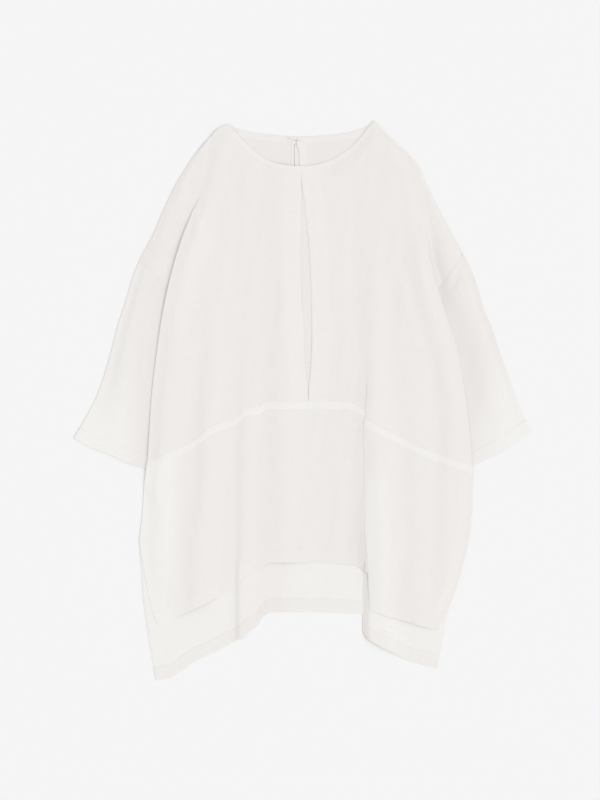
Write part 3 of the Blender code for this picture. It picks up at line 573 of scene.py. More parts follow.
FRONT, FRONT_COUNT = columns_of(FRONT_STRETCHES)
RADIUS = LAYER_STEP / 2


def front_points(y):
    """x and z of the front for an array of heights y, with one column for each line down the cloth."""
    y = np.atleast_2d(y)
    x, z = np.empty_like(y), np.empty_like(y)
    for name, columns in FRONT.items():
        here = y[:, columns]
        count = here.shape[1]
        share = np.linspace(0.0, 1.0, count)
        inner = (np.arange(count) + 1.0) / (count + 1.0)
        left, right = curve(LEFT_SIDE, here), curve(RIGHT_SIDE, here)
        edge, formed, depth = (curve(FRONT_FOLD, here, column) for column in (1, 2, 3))
        left_formed, right_formed = curve(SIDE_FOLDING, here, 1), curve(SIDE_FOLDING, here, 2)
        if name == "arm_left":
            x[:, columns] = stretch(here, left, curve(LEFT_ARM, here), 1.0 - share * (1.0 - ARM_LAST))
            z[:, columns] = arm_height(x[:, columns], here, LEFT_SIDE, LEFT_ARM)
            continue
        if name == "arm_right":
            x[:, columns] = stretch(here, right, curve(RIGHT_ARM, here), ARM_LAST + share * (1.0 - ARM_LAST))
            z[:, columns] = arm_height(x[:, columns], here, RIGHT_SIDE, RIGHT_ARM)
            continue
        if name == "turn_left":
            across, up = fold_curve(share, left_formed, SIDE_DEPTH)
            x[:, columns] = left + across - half_open(left_formed)
            z[:, columns] = front_base(x[:, columns], here) + up * curve(SIDE_PUFF, here, 1)
            continue
        if name == "turn_right":
            across, up = fold_curve(1.0 - share, right_formed, SIDE_DEPTH)
            x[:, columns] = right - across + half_open(right_formed)
            z[:, columns] = front_base(x[:, columns], here) + up * curve(SIDE_PUFF, here, 2)
            continue
        if name == "turn_skirt":
            across, up = fold_curve(share, formed, depth)
            x[:, columns] = edge + across
            up = up * bulged(across, here) * kept_at_hem(here)
            z[:, columns] = front_base(x[:, columns], here) + side_lift(x[:, columns], here) + up
            continue
        last_left = left + FLAT_SPREAD + (RADIUS - FLAT_SPREAD) * left_formed - half_open(left_formed)
        last_right = right - FLAT_SPREAD - (RADIUS - FLAT_SPREAD) * right_formed + half_open(right_formed)
        last_skirt = edge + FLAT_SPREAD + (RADIUS - FLAT_SPREAD) * formed
        if name == "side_left":
            x[:, columns] = stretch(here, last_left, RIDGE_FOOT, inner)
        elif name == "ridge":
            x[:, columns] = stretch(here, RIDGE_FOOT, RIDGE_END, share)
        elif name == "slit_left":
            x[:, columns] = stretch(here, RIDGE_END, curve(FRONT_SLIT, here, 1), (np.arange(count) + 1.0) / count)
        elif name == "slit_right":
            closer = 1.0 - (1.0 - np.arange(count) / count) ** 1.3
            x[:, columns] = stretch(here, curve(FRONT_SLIT, here, 2), edge, closer)
        else:
            x[:, columns] = stretch(here, last_skirt, last_right, inner)
        z[:, columns] = front_height(x[:, columns], here)
    return x, z


print(FRONT_COUNT, "columns across the front, in", len(FRONT), "stretches")

# %% [markdown]
# Where a seam crosses the columns
#
# A seam is a height for each x, but a column's x changes with its height. The crossing is found by asking
# again and again: start anywhere, read x there, look up the seam's height at that x, and repeat. Because the
# edges are steep and the seams are nearly level, this settles in a few rounds.


# %% Seams across the columns
def meet(points, count, start, height_at):
    """The height at which each of a panel's columns meets an edge given as height_at(x)."""
    heights = np.full(count, float(start))
    for _ in range(14):
        x, _ = points(heights)
        heights = height_at(x[0])
    return heights


def split_edge(left_table, right_table, turn):
    """An edge that steps at a knife fold: one table left of it, another right of it, and between them a
    smooth step over the turned layer."""

    def height_at(x):
        heights = curve(left_table, x)
        heights[turn.stop - 1 :] = curve(right_table, x[turn.stop - 1 :])
        start, end = heights[turn.start - 1], heights[turn.stop - 1]
        share = np.linspace(0.0, 1.0, turn.stop - turn.start)
        heights[turn] = start + (end - start) * (0.12 + 0.88 * smooth_step((share - 0.34) / 0.32))
        return heights

    return height_at


def level_turns(heights):
    """Under the turned sides an edge runs on at the height that it has where the cloth turns."""
    heights = heights.copy()
    heights[FRONT["turn_left"]] = heights[FRONT["turn_left"].stop - 1]
    heights[FRONT["turn_right"]] = heights[FRONT["turn_right"].start]
    return heights


def line_through(ends, x):
    """Height of the straight line through two points."""
    (x0, y0), (x1, y1) = ends
    return y0 + (y1 - y0) * (x - x0) / (x1 - x0)


def spaced(start, end, shares):
    """Rows of heights on the way from one seam to another: start + (end - start) share."""
    shares = np.asarray(shares, float)[:, None]
    return start * (1.0 - shares) + end * shares


BAND_WIDTH = 13.0
waist = meet(front_points, FRONT_COUNT, -50.0, split_edge(BAND_LEFT, BAND_RIGHT, FRONT["turn_skirt"]))
waist = level_turns(waist)
print("the waist band's middle runs from", round(waist.min(), 1), "to", round(waist.max(), 1), "mm")

# %% [markdown]
# From grid to cloth
#
# The grid becomes a mesh once, in this one function. It also writes down two things that the finish needs
# later. The UV map holds lengths along the cloth in metres, so a weave drawn on it follows every fold. And
# each point keeps how pale the cloth looks there, from 0 to 1. Thin linen takes on what lies under it, and the
# same value also carries painted shade beside folds and edges and painted light past a fold's edge.
# The wall is a Solidify modifier, thicker where the cloth is doubled.

# %% Cloth from a grid
SINGLE = 0.5  # wall of one layer
DOUBLED = 0.9  # wall of a hem
cut_sizes = {}


def lengths(grid, axis):
    """Running length of the grid's lines along an axis: the sum of the distances between its points."""
    steps = np.linalg.norm(np.diff(grid, axis=axis), axis=-1)
    return np.concatenate([np.zeros_like(np.take(steps, [0], axis)), np.cumsum(steps, axis=axis)], axis=axis)


def cloth(name, grid, wall, tone_and_painted_light, left_out=None, ring=False, middle_column=0, body="root"):
    """A sheet from its grid of points in millimetres, with the wall and the paleness (tone, painted shade and
    painted light) at each point.

    left_out marks the grid's cells that are open. ring joins the last column to the first.
    """
    rows, columns = grid.shape[:2]
    across, down = lengths(grid, 1), lengths(grid, 0)
    across = across - across[:, middle_column : middle_column + 1]
    number = np.arange(rows * columns).reshape(rows, columns)
    u, v = across, -down
    if ring:
        closing = np.linalg.norm(grid[:, :1] - grid[:, -1:], axis=-1)
        number = np.concatenate([number, number[:, :1]], axis=1)
        u = np.concatenate([u, u[:, -1:] + closing], axis=1)
        v = np.concatenate([v, v[:, :1]], axis=1)
    corners = (slice(None, -1), slice(None, -1)), (slice(1, None), slice(None, -1))
    corners += (slice(1, None), slice(1, None)), (slice(None, -1), slice(1, None))
    cells = np.stack([number[c] for c in corners], axis=-1)
    cell_uv = np.stack([np.stack([u[c], v[c]], axis=-1) for c in corners], axis=-2) * MM
    kept = np.ones(cells.shape[:2], bool) if left_out is None else ~left_out
    cells, cell_uv = cells[kept], cell_uv[kept]
    flat = grid.reshape(-1, 3)
    wide = np.linalg.norm(flat[cells[:, 3]] - flat[cells[:, 0]], axis=1)
    wide = np.minimum(wide, np.linalg.norm(flat[cells[:, 2]] - flat[cells[:, 1]], axis=1) + wide)
    cells, cell_uv = cells[wide > 1e-4], cell_uv[wide > 1e-4]
    used, faces = np.unique(cells, return_inverse=True)
    faces = faces.reshape(-1, 4)
    mesh = bpy.data.meshes.new(name)
    mesh.from_pydata(((flat[used] - MIDDLE) * MM).tolist(), [], faces.tolist())
    uv = mesh.uv_layers.new(name="cut")
    uv.data.foreach_set("uv", cell_uv.reshape(-1).astype(np.float32))
    # The point value holds the cloth's tone together with painted shade and painted light.
    tone = mesh.attributes.new("tone_and_painted_light", "FLOAT", "POINT")
    tone.data.foreach_set("value", np.broadcast_to(tone_and_painted_light, (rows, columns)).reshape(-1)[used].astype(np.float32))
    mesh.shade_smooth()
    piece = bpy.data.objects.new(name, mesh)
    scene.collection.objects.link(piece)
    wall = np.broadcast_to(wall, (rows, columns)).reshape(-1)[used]
    group = piece.vertex_groups.new(name="wall")
    for value in np.unique(wall):
        group.add(np.flatnonzero(wall == value).tolist(), float(value / wall.max()), "REPLACE")
    shell = piece.modifiers.new("wall", "SOLIDIFY")
    shell.thickness = float(wall.max()) * MM
    shell.offset = 0.0
    shell.vertex_group = "wall"
    shell.thickness_vertex_group = 0.0
    flatten = piece.modifiers.new("flat faces", "WEIGHTED_NORMAL")
    flatten.mode = "FACE_AREA"
    flatten.weight = 100
    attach(piece, body)
    side_a = flat[cells[:, 2]] - flat[cells[:, 0]]
    side_b = flat[cells[:, 3]] - flat[cells[:, 1]]
    area = float(np.linalg.norm(np.cross(side_a, side_b), axis=1).sum() / 2) * MM * MM
    width = float(cell_uv[..., 0].max() - cell_uv[..., 0].min())
    length = float(cell_uv[..., 1].max() - cell_uv[..., 1].min())
    cut_sizes[name] = (width, length, area)
    size = f"{width * 1000:.0f} x {length * 1000:.0f} mm, {area:.4f} square metres"
    print(f"{name}: {len(faces)} faces, cut {size}")
    return piece


def normals_of(grid):
    """The grid's unit normals: the cross product of the ways across and up the cloth."""
    across = np.gradient(grid, axis=1)
    up_cloth = -np.gradient(grid, axis=0)
    normal = np.cross(across, up_cloth)
    return normal / np.maximum(np.linalg.norm(normal, axis=-1, keepdims=True), 1e-9)


print("a single layer is", SINGLE, "mm thick here and a hem", DOUBLED, "mm")

# %% [markdown]
# The front bodice
#
# The front is cut in two halves that meet along the centre. They are sewn together just under the neck and
# again just above the waist, and between the two seams they part as a narrow slit. The allowances beside the
# slit are folded back and pressed, and because the linen is thin they show through as two paler strips.

# %% Front bodice
SEAM_LAP = 1.6
NECK_ROWS = 64
BODICE_ROWS = 78
FACING_LEFT = 27.0  # width of the allowance left of the slit
FACING_RIGHT = 30.0
FACING_EDGE = 5.0
FACING_WALL = 0.2
UNDER_BAND = 0.9  # how far a panel reaches under the waist band

top = meet(front_points, FRONT_COUNT, 400.0, lambda x: curve(FRONT_TOP, x))
arm_left = meet(front_points, FRONT_COUNT, 200.0, lambda x: line_through(ARMHOLE_LEFT, x))
arm_right = meet(front_points, FRONT_COUNT, 200.0, lambda x: line_through(ARMHOLE_RIGHT, x))
LEFT_EDGE, RIGHT_EDGE = FRONT["turn_left"].start, FRONT["turn_right"].stop - 1
SLIT_LEFT, SLIT_RIGHT = FRONT["slit_left"].stop - 1, FRONT["slit_right"].start
middle = np.where(np.arange(FRONT_COUNT) <= SLIT_LEFT, arm_left[LEFT_EDGE], arm_right[RIGHT_EDGE])
middle[FRONT["arm_left"]] = arm_left[FRONT["arm_left"]]
middle[FRONT["arm_right"]] = arm_right[FRONT["arm_right"]]
top[: LEFT_EDGE + 1] = LEFT_ARM[0][0]
top[RIGHT_EDGE:] = RIGHT_ARM[0][0]
low = waist + BAND_WIDTH / 2 - UNDER_BAND
shoulder = spaced(top, middle, np.linspace(0.0, 1.0, NECK_ROWS + 1))
bodice = spaced(middle, low, np.linspace(0.0, 1.0, BODICE_ROWS + 1)[1:])
front_heights = np.concatenate([shoulder, bodice])
for columns in (FRONT["arm_left"], FRONT["arm_right"]):
    front_heights[NECK_ROWS - 1, columns] = middle[columns] + SEAM_LAP
front_x, front_z = front_points(front_heights)
front_grid = np.stack([front_x, front_heights, front_z], axis=-1)


def beside_slit(x, y):
    """1 on the pale strips beside the slit, with a soft edge, and 0 elsewhere."""
    left = curve(FRONT_SLIT, y, 1) - x
    right = x - curve(FRONT_SLIT, y, 2)
    inside_left = smooth_step((FACING_LEFT - left) / FACING_EDGE + 0.5) * (left > -1.0)
    inside_right = smooth_step((FACING_RIGHT - right) / FACING_EDGE + 0.5) * (right > -1.0)
    return np.maximum(inside_left, inside_right)


front_pale = 0.24 + 0.2 * beside_slit(front_x, front_heights)
pieces = {}
HALVES = (
    ("front_left", slice(0, SLIT_LEFT + 1), FRONT["arm_left"].stop, True),
    ("front_right", slice(SLIT_RIGHT, FRONT_COUNT), FRONT_COUNT - FRONT["arm_right"].start, False),
)
for name, columns, arm, on_left in HALVES:
    grid = front_grid[:, columns]
    left_out = np.zeros((grid.shape[0] - 1, grid.shape[1] - 1), bool)
    if on_left:
        left_out[NECK_ROWS:, :arm] = True
    else:
        left_out[NECK_ROWS:, -arm:] = True
    slit_column = grid.shape[1] - 1 if on_left else 0
    tone_and_painted_light = front_pale[:, columns]
    wall = np.full(grid.shape[:2], SINGLE)
    wall[NECK_ROWS, slice(0, arm) if on_left else slice(-arm, None)] = 0.3
    wall[:, slit_column] = 0.3
    pieces[name] = cloth(name + "_cloth", grid, wall, tone_and_painted_light, left_out, middle_column=slit_column)
    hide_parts(name)

# %% [markdown]
# The waist band and the skirt
#
# The band is a narrow strip let in between bodice and skirt. Its seam allowances are pressed inwards, so it
# is four layers thick, stands a little proud, and is the palest line on the garment. Below it the skirt
# hangs to a hem that is turned up twice and stitched. The skirt reaches down much further at its sides.

# %% Waist band and skirt
FRONT_HEM = 22.0
SKIRT_ROWS = 88
BAND_RISE = 0.35
BAND_PALE = 0.78
BAND_SHARES = (0.0, 0.05, 0.15, 0.35, 0.65, 0.85, 0.95, 1.0)
BAND_ROUND = (-0.75, -0.2, 0.0, 0.05, 0.05, 0.0, -0.2, -0.75)  # the band's edges dip to the cloth beside it
STITCH_ROWS = (2.2, 1.1, 0.0, -1.1, -2.2)  # rows of points above and below a hem's stitches

body = np.delete(np.arange(LEFT_EDGE, RIGHT_EDGE + 1), SLIT_RIGHT - LEFT_EDGE)
hem_edge = split_edge(FRONT_HEM_LEFT, FRONT_HEM_RIGHT, FRONT["turn_skirt"])
hem = level_turns(meet(front_points, FRONT_COUNT, -300.0, hem_edge))

band_heights = spaced(waist + BAND_WIDTH / 2, waist - BAND_WIDTH / 2, BAND_SHARES)
band_x, band_z = front_points(band_heights)
band_grid = np.stack([band_x, band_heights, band_z], axis=-1)
band_grid = band_grid + normals_of(band_grid) * (BAND_RISE + np.array(BAND_ROUND))[:, None, None]
pieces["waist_band"] = cloth("waist_band_cloth", band_grid[:, body], DOUBLED, BAND_PALE, middle_column=100)

turned = hem + FRONT_HEM
skirt_top = waist - BAND_WIDTH / 2 + UNDER_BAND
skirt_heights = spaced(skirt_top, turned + STITCH_ROWS[0], np.linspace(0.0, 1.0, SKIRT_ROWS))
near_stitches = turned + np.array(STITCH_ROWS[1:])[:, None]
hem_rows = spaced(near_stitches[-1], hem, (0.2, 0.4, 0.6, 0.8, 0.95, 1.0))
skirt_heights = np.concatenate([skirt_heights, near_stitches, hem_rows])
skirt_x, skirt_z = front_points(skirt_heights)
skirt_grid = np.stack([skirt_x, skirt_heights, skirt_z], axis=-1)
in_hem = np.arange(len(skirt_heights)) > SKIRT_ROWS
skirt_wall = np.where(in_hem, DOUBLED, SINGLE)
skirt_wall[-2:] = (0.6, 0.3)
edge_columns = np.ones(FRONT_COUNT)
edge_columns[[LEFT_EDGE, LEFT_EDGE + 1, RIGHT_EDGE - 1, RIGHT_EDGE]] = 0.6
skirt_wall = skirt_wall[:, None] * edge_columns
skirt_grid[-3:, :, 2] -= np.array((0.05, 0.2, 0.4))[:, None]
# Paleness of the skirt: its tone, painted light towards the far left and just past the fold's edge, and painted
# shade on the cloth just before the fold's edge, where the fold stands over it.
skirt_tone_and_painted_light = 0.25 + 0.75 * smooth_step((-170.0 - skirt_x) / 60.0)
past_fold = skirt_x - curve(FRONT_FOLD, skirt_heights, 1)
painted_light_past_fold = smooth_step(past_fold / 4.0) * smooth_step((52.0 - past_fold) / 30.0)
painted_light_past_fold = painted_light_past_fold * smooth_step((-90.0 - skirt_heights) / 60.0)
painted_shade_before_fold = smooth_step((past_fold + 36.0) / 16.0) * (past_fold < 0.0)
painted_shade_before_fold = painted_shade_before_fold * smooth_step((-185.0 - skirt_heights) / 40.0)
skirt_tone_and_painted_light = skirt_tone_and_painted_light + 0.4 * painted_light_past_fold - 0.25 * painted_shade_before_fold
pieces["front_skirt"] = cloth(
    "front_skirt_cloth", skirt_grid[:, body], skirt_wall[:, body], skirt_tone_and_painted_light[:, body], middle_column=100
)
for name, slot in (("waist_band", "doubled_linen"), ("front_skirt", "linen")):
    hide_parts(name)

# %% [markdown]
# The back
#
# The back is one panel, lower at the hem than the front, with a slit at the centre of the neck. Only its hem
# and the inside of its neck show from above, and the whole of it shows from below. It lies on the floor, so
# its lower face is level apart from the two places where a fold lifts it.

# %% Back
BACK_HEM = 21.0
BACK_STRETCHES = (
    ("arm_left", 8), ("side_left", 34), ("ridge", 20), ("slit_left", 16),
    ("slit_right", 34), ("turn", 21), ("side_right", 34), ("arm_right", 8),
)
BACK, BACK_COUNT = columns_of(BACK_STRETCHES)
SLIT_FOLD = 2  # row of the soft fold that the slit lies in
BACK_SWELL = 2.5  # how much more the back rises under the slit
SLIT_CURL = 1.1  # how far the right edge of the neck's slit stands up
LEFT_CURL = 0.6
SLIT_CURL_REACH = 10.0
WAIST_CORNER = -114.0  # height at which the back's edge changes from the sleeve's seam to the side seam


def back_side(y, arm_side, edge):
    """Edge of the back beside a sleeve: just past the sleeve's tuck, and below the cuff the side seam."""
    tuck = SLEEVE_TUCK + SINGLE / 2 + BACK_CLEAR
    inward = tuck if arm_side is LEFT_SIDE else -tuck
    return np.where(y > WAIST_CORNER, curve(arm_side, y) + inward, curve(edge, y))


def neck_slit_rise(x, y):
    """Both edges of the slit curl up, the right one more: a bell from each edge, h exp(-(d / reach)^2).

    Smooth steps fade it towards the neckline of the front and that of the back.
    """
    left, right = curve(BACK_SLIT, y, 1), curve(BACK_SLIT, y, 2)
    on_left = x < (left + right) / 2
    distance = np.where(on_left, left - x, x - right)
    curl = np.where(on_left, LEFT_CURL, SLIT_CURL) * np.exp(-((distance / SLIT_CURL_REACH) ** 2))
    return curl * smooth_step((y - 366.0) / 8.0) * smooth_step((424.0 - y) / 14.0)


def slit_reach(x, y):
    """1 where the back shows through the front slit, fading to 0 over some distance around it."""
    across = 1.0 - smooth_step((np.abs(x - 6.0) - 22.0) / 26.0)
    return across * smooth_step((370.0 - y) / 32.0) * smooth_step((y + 40.0) / 70.0)


def back_points(y):
    """x and z of the back for an array of heights, as front_points gives those of the front."""
    y = np.atleast_2d(y)
    x, z = np.empty_like(y), np.empty_like(y)
    for name, columns in BACK.items():
        here = y[:, columns]
        count = here.shape[1]
        share, inner = np.linspace(0.0, 1.0, count), (np.arange(count) + 1.0) / (count + 1.0)
        left = back_side(here, LEFT_SIDE, LEFT_BACK_EDGE)
        right = back_side(here, RIGHT_SIDE, RIGHT_BACK_EDGE)
        edge, formed, depth = (curve(BACK_FOLD, here, column) for column in (1, 2, 3))
        last = edge + FLAT_SPREAD + (RADIUS - FLAT_SPREAD) * formed
        starts = {
            "arm_left": (curve(LEFT_ARM, here), left, np.arange(count) / count),
            "side_left": (left, RIDGE_FOOT, np.arange(count) / count),
            "ridge": (RIDGE_FOOT, RIDGE_END, share),
            "slit_left": (RIDGE_END, curve(BACK_SLIT, here, 1), (np.arange(count) + 1.0) / count),
            "slit_right": (curve(BACK_SLIT, here, 2), edge, (np.arange(count) / count) ** 1.6),
            "turn": (edge, edge, share),
            "side_right": (last, right, (np.arange(count) + 1.0) / count),
            "arm_right": (right, curve(RIGHT_ARM, here), (np.arange(count) + 1.0) / count),
        }
        start, end, part = starts[name]
        x[:, columns] = stretch(here, start, end, part)
        swell = BACK_SWELL + soft_fold(SOFT_FOLDS[SLIT_FOLD], x[:, columns], here)
        under_slit = swell * slit_reach(x[:, columns], here)
        z[:, columns] = ridge(x[:, columns], here, 2) + under_slit + neck_slit_rise(x[:, columns], here)
        if name == "turn":
            across, up = fold_curve(share, formed, depth)
            x[:, columns] = edge + across
            z[:, columns] = up * rolled(across)
        elif name in ("side_right", "arm_right"):
            far = x[:, columns] - edge
            z[:, columns] += over_lift(far, formed, depth, SKIRT_SLOPE) * rolled(far)
    return x, z


back_top = meet(back_points, BACK_COUNT, 400.0, lambda x: curve(BACK_TOP, x))
back_arm_left = meet(back_points, BACK_COUNT, 200.0, lambda x: line_through(ARMHOLE_LEFT, x))
back_arm_right = meet(back_points, BACK_COUNT, 200.0, lambda x: line_through(ARMHOLE_RIGHT, x))
back_low = meet(back_points, BACK_COUNT, -400.0, split_edge(BACK_HEM_LEFT, BACK_HEM_RIGHT, BACK["turn"]))
B_LEFT, B_RIGHT = BACK["side_left"].start, BACK["side_right"].stop - 1
B_SLIT = BACK["slit_left"].stop - 1
back_top[: B_LEFT + 1] = LEFT_ARM[0][0]
back_top[B_RIGHT:] = RIGHT_ARM[0][0]
back_middle = np.where(np.arange(BACK_COUNT) <= B_SLIT, back_arm_left[B_LEFT], back_arm_right[B_RIGHT])
back_middle[:B_LEFT] = back_arm_left[:B_LEFT]
back_middle[B_RIGHT + 1 :] = back_arm_right[B_RIGHT + 1 :]
slit_end = np.full(BACK_COUNT, BACK_SLIT_END)
slit_end[: B_LEFT + 1] = (back_top[: B_LEFT + 1] + back_middle[: B_LEFT + 1]) / 2
slit_end[B_RIGHT:] = (back_top[B_RIGHT:] + back_middle[B_RIGHT:]) / 2
level = np.ones(BACK_COUNT)
SLIT_ROWS, ARM_ROWS = 30, 28
back_turned = back_low + BACK_HEM
back_rows = [
    spaced(back_top, slit_end, np.linspace(0.0, 1.0, SLIT_ROWS + 1)),
    spaced(slit_end, back_middle, np.linspace(0.0, 1.0, ARM_ROWS + 1)[1:]),
    spaced(back_middle, (WAIST_CORNER + 0.1) * level, np.linspace(0.0, 1.0, 61)[1:]),
    spaced((WAIST_CORNER - 0.1) * level, -250.0 * level, np.linspace(0.0, 1.0, 30)),
    spaced(-250.0 * level, back_turned + STITCH_ROWS[0], np.linspace(0.0, 1.0, 23)[1:]),
    back_turned + np.array(STITCH_ROWS[1:])[:, None],
    spaced(back_turned + STITCH_ROWS[-1], back_low, (0.2, 0.4, 0.6, 0.8, 0.95, 1.0)),
]
back_heights = np.concatenate(back_rows)
back_x, back_z = back_points(back_heights)
back_in_hem = np.arange(len(back_heights)) >= len(back_heights) - 9
back_wall = np.where(back_in_hem, DOUBLED, SINGLE)
back_wall[-2:] = (0.6, 0.3)
back_wall = back_wall[:, None]
back_grid = np.stack([back_x, back_heights, back_z + back_wall / 2], axis=-1)
back_left_out = np.zeros((len(back_heights) - 1, BACK_COUNT - 1), bool)
back_left_out[SLIT_ROWS + ARM_ROWS :, :B_LEFT] = True
back_left_out[SLIT_ROWS + ARM_ROWS :, B_RIGHT:] = True
back_left_out[:SLIT_ROWS, B_SLIT] = True
# Paleness of the back: painted shade over the upper back, where the inside of the neck shows. The single layer
# below the front's hem shows paler on the white floor, and the hem and slit allowances show paler. Painted shade
# darkens the back around the ridge and on the roll of the back's fold.
back_tone_and_painted_shade = 0.12 + 0.73 * smooth_step((-240.0 - back_heights) / 20.0)
back_tone_and_painted_shade[back_in_hem] = 0.5
from_slit = back_x - curve(BACK_SLIT, back_heights, 2)
allowance = (from_slit > -0.5) * smooth_step((14.5 - from_slit) / 2.0) * (back_heights > 340.0)
painted_shade_at_ridge = smooth_step((back_x + 120.0) / 12.0) * smooth_step((-10.0 - back_x) / 30.0)
painted_shade_at_ridge = painted_shade_at_ridge * (back_heights < -230.0)
painted_shade_in_roll = smooth_step((back_x - 96.0) / 5.0) * smooth_step((111.0 - back_x) / 4.0)
painted_shade_in_roll = painted_shade_in_roll * smooth_step((-255.0 - back_heights) / 10.0)
back_tone_and_painted_shade = back_tone_and_painted_shade + 0.3 * allowance - 0.4 * painted_shade_at_ridge - 0.85 * painted_shade_in_roll
pieces["back_panel"] = cloth("back_cloth", back_grid, back_wall, back_tone_and_painted_shade, back_left_out, middle_column=B_SLIT)
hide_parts("back_panel")

# %% [markdown]
# The sleeves
#
# Each sleeve is one piece, folded along the top of the arm and closed by a seam along its underside. Laid
# flat it is a tube with two layers. So its grid is a ring: the columns run round the tube, and the last one
# joins the first. The top of the tube meets the dropped armhole and its end is the hemmed cuff.

# %% Sleeves
CUFF_HEM = 20.0
SLEEVE_ROWS = 84
SLEEVE_ACROSS = 40
BEND_SHARE = 0.05  # share of the sleeve's width that each rounded edge takes
SLEEVE_END = -110.0
# Painted shade on the sleeve beside the body's folded edge, and how far it reaches.
PAINTED_SHADE_NEAR_BODY = 0.9  # how much darker the sleeve looks beside the body that lies on it
PAINTED_SHADE_REACH = 52.0
CUFF_FLAT = 0.72  # how much of its height the upper layer has lost at the cuff


def make_sleeve(side, arm, armhole, cuff):
    """A flat tube: upper and lower layer at heights z(s), joined by rounded edges.

    Near an edge the upper layer comes down as a quarter ellipse, z = low + b + b sqrt(1 - (1 - s / e)^2).
    """
    sign = 1.0 if side is LEFT_SIDE else -1.0
    outer_top, outer_low = armhole[0][1], min(arm)[0]
    inner_top = armhole[1][1]
    for _ in range(12):
        inner_top = line_through(armhole, curve(side, inner_top) + sign * SLEEVE_TUCK)
    turned = 1.0 - CUFF_HEM / (outer_top - outer_low)
    near_turn = turned + np.array((-0.003, 0.0, 0.003, 0.006))
    shares = np.append(np.linspace(0.0, turned - 0.006, SLEEVE_ROWS), near_turn)
    shares = np.append(shares, np.linspace(turned + 0.006, 1.0, 7)[1:])
    outer_y = outer_top + (outer_low - outer_top) * shares
    inner_y = inner_top + (SLEEVE_END - inner_top) * shares
    outer_x, inner_x = curve(arm, outer_y), curve(side, inner_y) + sign * SLEEVE_TUCK
    doubled = np.arange(len(shares)) > SLEEVE_ROWS
    wall = np.where(doubled, DOUBLED, SINGLE)
    wall[-2:] = (0.6, 0.3)
    wall = wall[:, None]
    s = (1.0 - np.cos(np.linspace(0.0, np.pi, SLEEVE_ACROSS))) / 2.0
    x = inner_x[:, None] + (outer_x - inner_x)[:, None] * s
    y = inner_y[:, None] + (outer_y - inner_y)[:, None] * s
    y = y + (curve(cuff, x) - y[-1:]) * shares[:, None] ** 8
    low = wall / 2 + 0.0 * x
    edge = np.clip(np.minimum(s, 1.0 - s) / BEND_SHARE, 0.0, 1.0)
    rounded = low + wall + 0.08 + SLEEVE_BEND * np.sqrt(1.0 - (1.0 - edge) ** 2)
    inside = smooth_step(np.minimum(s / 0.12, (1.0 - s) / 0.24))
    flatter = 1.0 - CUFF_FLAT * smooth_step((shares[:, None] - 0.55) / 0.45)
    high = rounded + (arm_height(x, y, side, arm) * flatter - rounded) * inside
    upper = np.stack([x, y, high], axis=-1)
    lower = np.stack([x, y, low], axis=-1)[:, ::-1][:, 1:-1]
    grid = np.concatenate([upper, lower], axis=1)
    if sign > 0:
        grid = grid[:, ::-1]
    # Paleness of the sleeve: paler towards the cuff. Near the armhole the darker tone is partly the layers under
    # the sleeve and partly painted shade, and beside the body painted shade darkens it further.
    at_armhole, at_cuff = (0.5, 1.0) if sign > 0 else (0.1, 0.95)
    tone_and_painted_light = (at_armhole + (at_cuff - at_armhole) * smooth_step((shares - 0.45) / 0.5))[:, None]
    from_body = (grid[..., 0] - curve(side, grid[..., 1])) * -sign
    painted_shade_near_body = PAINTED_SHADE_NEAR_BODY * (1.0 if sign > 0 else 1.0 - 0.4 * smooth_step((shares - 0.5) / 0.3)[:, None])
    tone_and_painted_light = tone_and_painted_light - painted_shade_near_body * (1.0 - smooth_step(from_body / PAINTED_SHADE_REACH))
    return grid, wall, tone_and_painted_light


SLEEVES = (
    ("sleeve_left", LEFT_SIDE, LEFT_ARM, ARMHOLE_LEFT, LEFT_CUFF),
    ("sleeve_right", RIGHT_SIDE, RIGHT_ARM, ARMHOLE_RIGHT, RIGHT_CUFF),
)
sleeve_grids = {}
for name, side, arm, armhole, cuff in SLEEVES:
    grid, wall, tone_and_painted_light = make_sleeve(side, arm, armhole, cuff)
    sleeve_grids[name] = grid
    pieces[name] = cloth(name + "_cloth", grid, wall, tone_and_painted_light, ring=True)
    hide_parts(name)

# %% [markdown]
# Narrow strips
#
# The front neckline is bound with a narrow strip of the same linen. Inside the back neck a slightly wider
# strip covers the raw edge, and the edges of the back slit are turned in. Each is a grid of a few columns
# between two edges, laid on the height of the cloth under it and rounded down at its edges.

# %% Bindings and facings
TRIM = 0.5
BINDING_WIDTH = 8.0
NECK_FACING_WIDTH = 11.0
STRIP_SHARES = np.array((0.0, 0.08, 0.25, 0.5, 0.75, 0.92, 1.0))
STRIP_ROUND = np.array((-0.3, -0.08, 0.0, 0.05, 0.0, -0.08, -0.3))
STRIP_PROUD = 0.18  # how far a strip stands proud of the cloth


def offset_edge(table, x, width):
    """The points of a table's curve, and the same points moved down across it by the width."""
    y = curve(table, x)
    slope = curve(table, x + 0.5) - curve(table, x - 0.5)
    size = np.sqrt(1.0 + slope**2)
    return np.stack([x, y], axis=-1), np.stack([x + width * slope / size, y - width / size], axis=-1)


def strip(name, first, last, height, tone_and_painted_light):
    """A strip between two edges: rows at the shares of the way from one to the other, on the cloth's height."""
    flat = first + (last - first) * STRIP_SHARES[:, None, None]
    z = height(flat[..., 0], flat[..., 1]) + STRIP_ROUND[:, None]
    grid = np.concatenate([flat, z[..., None]], axis=-1)
    return cloth(name + "_cloth", grid, TRIM, tone_and_painted_light), grid


def on_front(x, y):
    """Height of a strip's middle where it lies on the front."""
    return front_height(x, y) + SINGLE / 2 - TRIM / 2 + STRIP_PROUD


def on_back(x, y):
    """Height of a strip's middle where it lies on the inner side of the back."""
    return SINGLE - TRIM / 2 + STRIP_PROUD + neck_slit_rise(x, y)


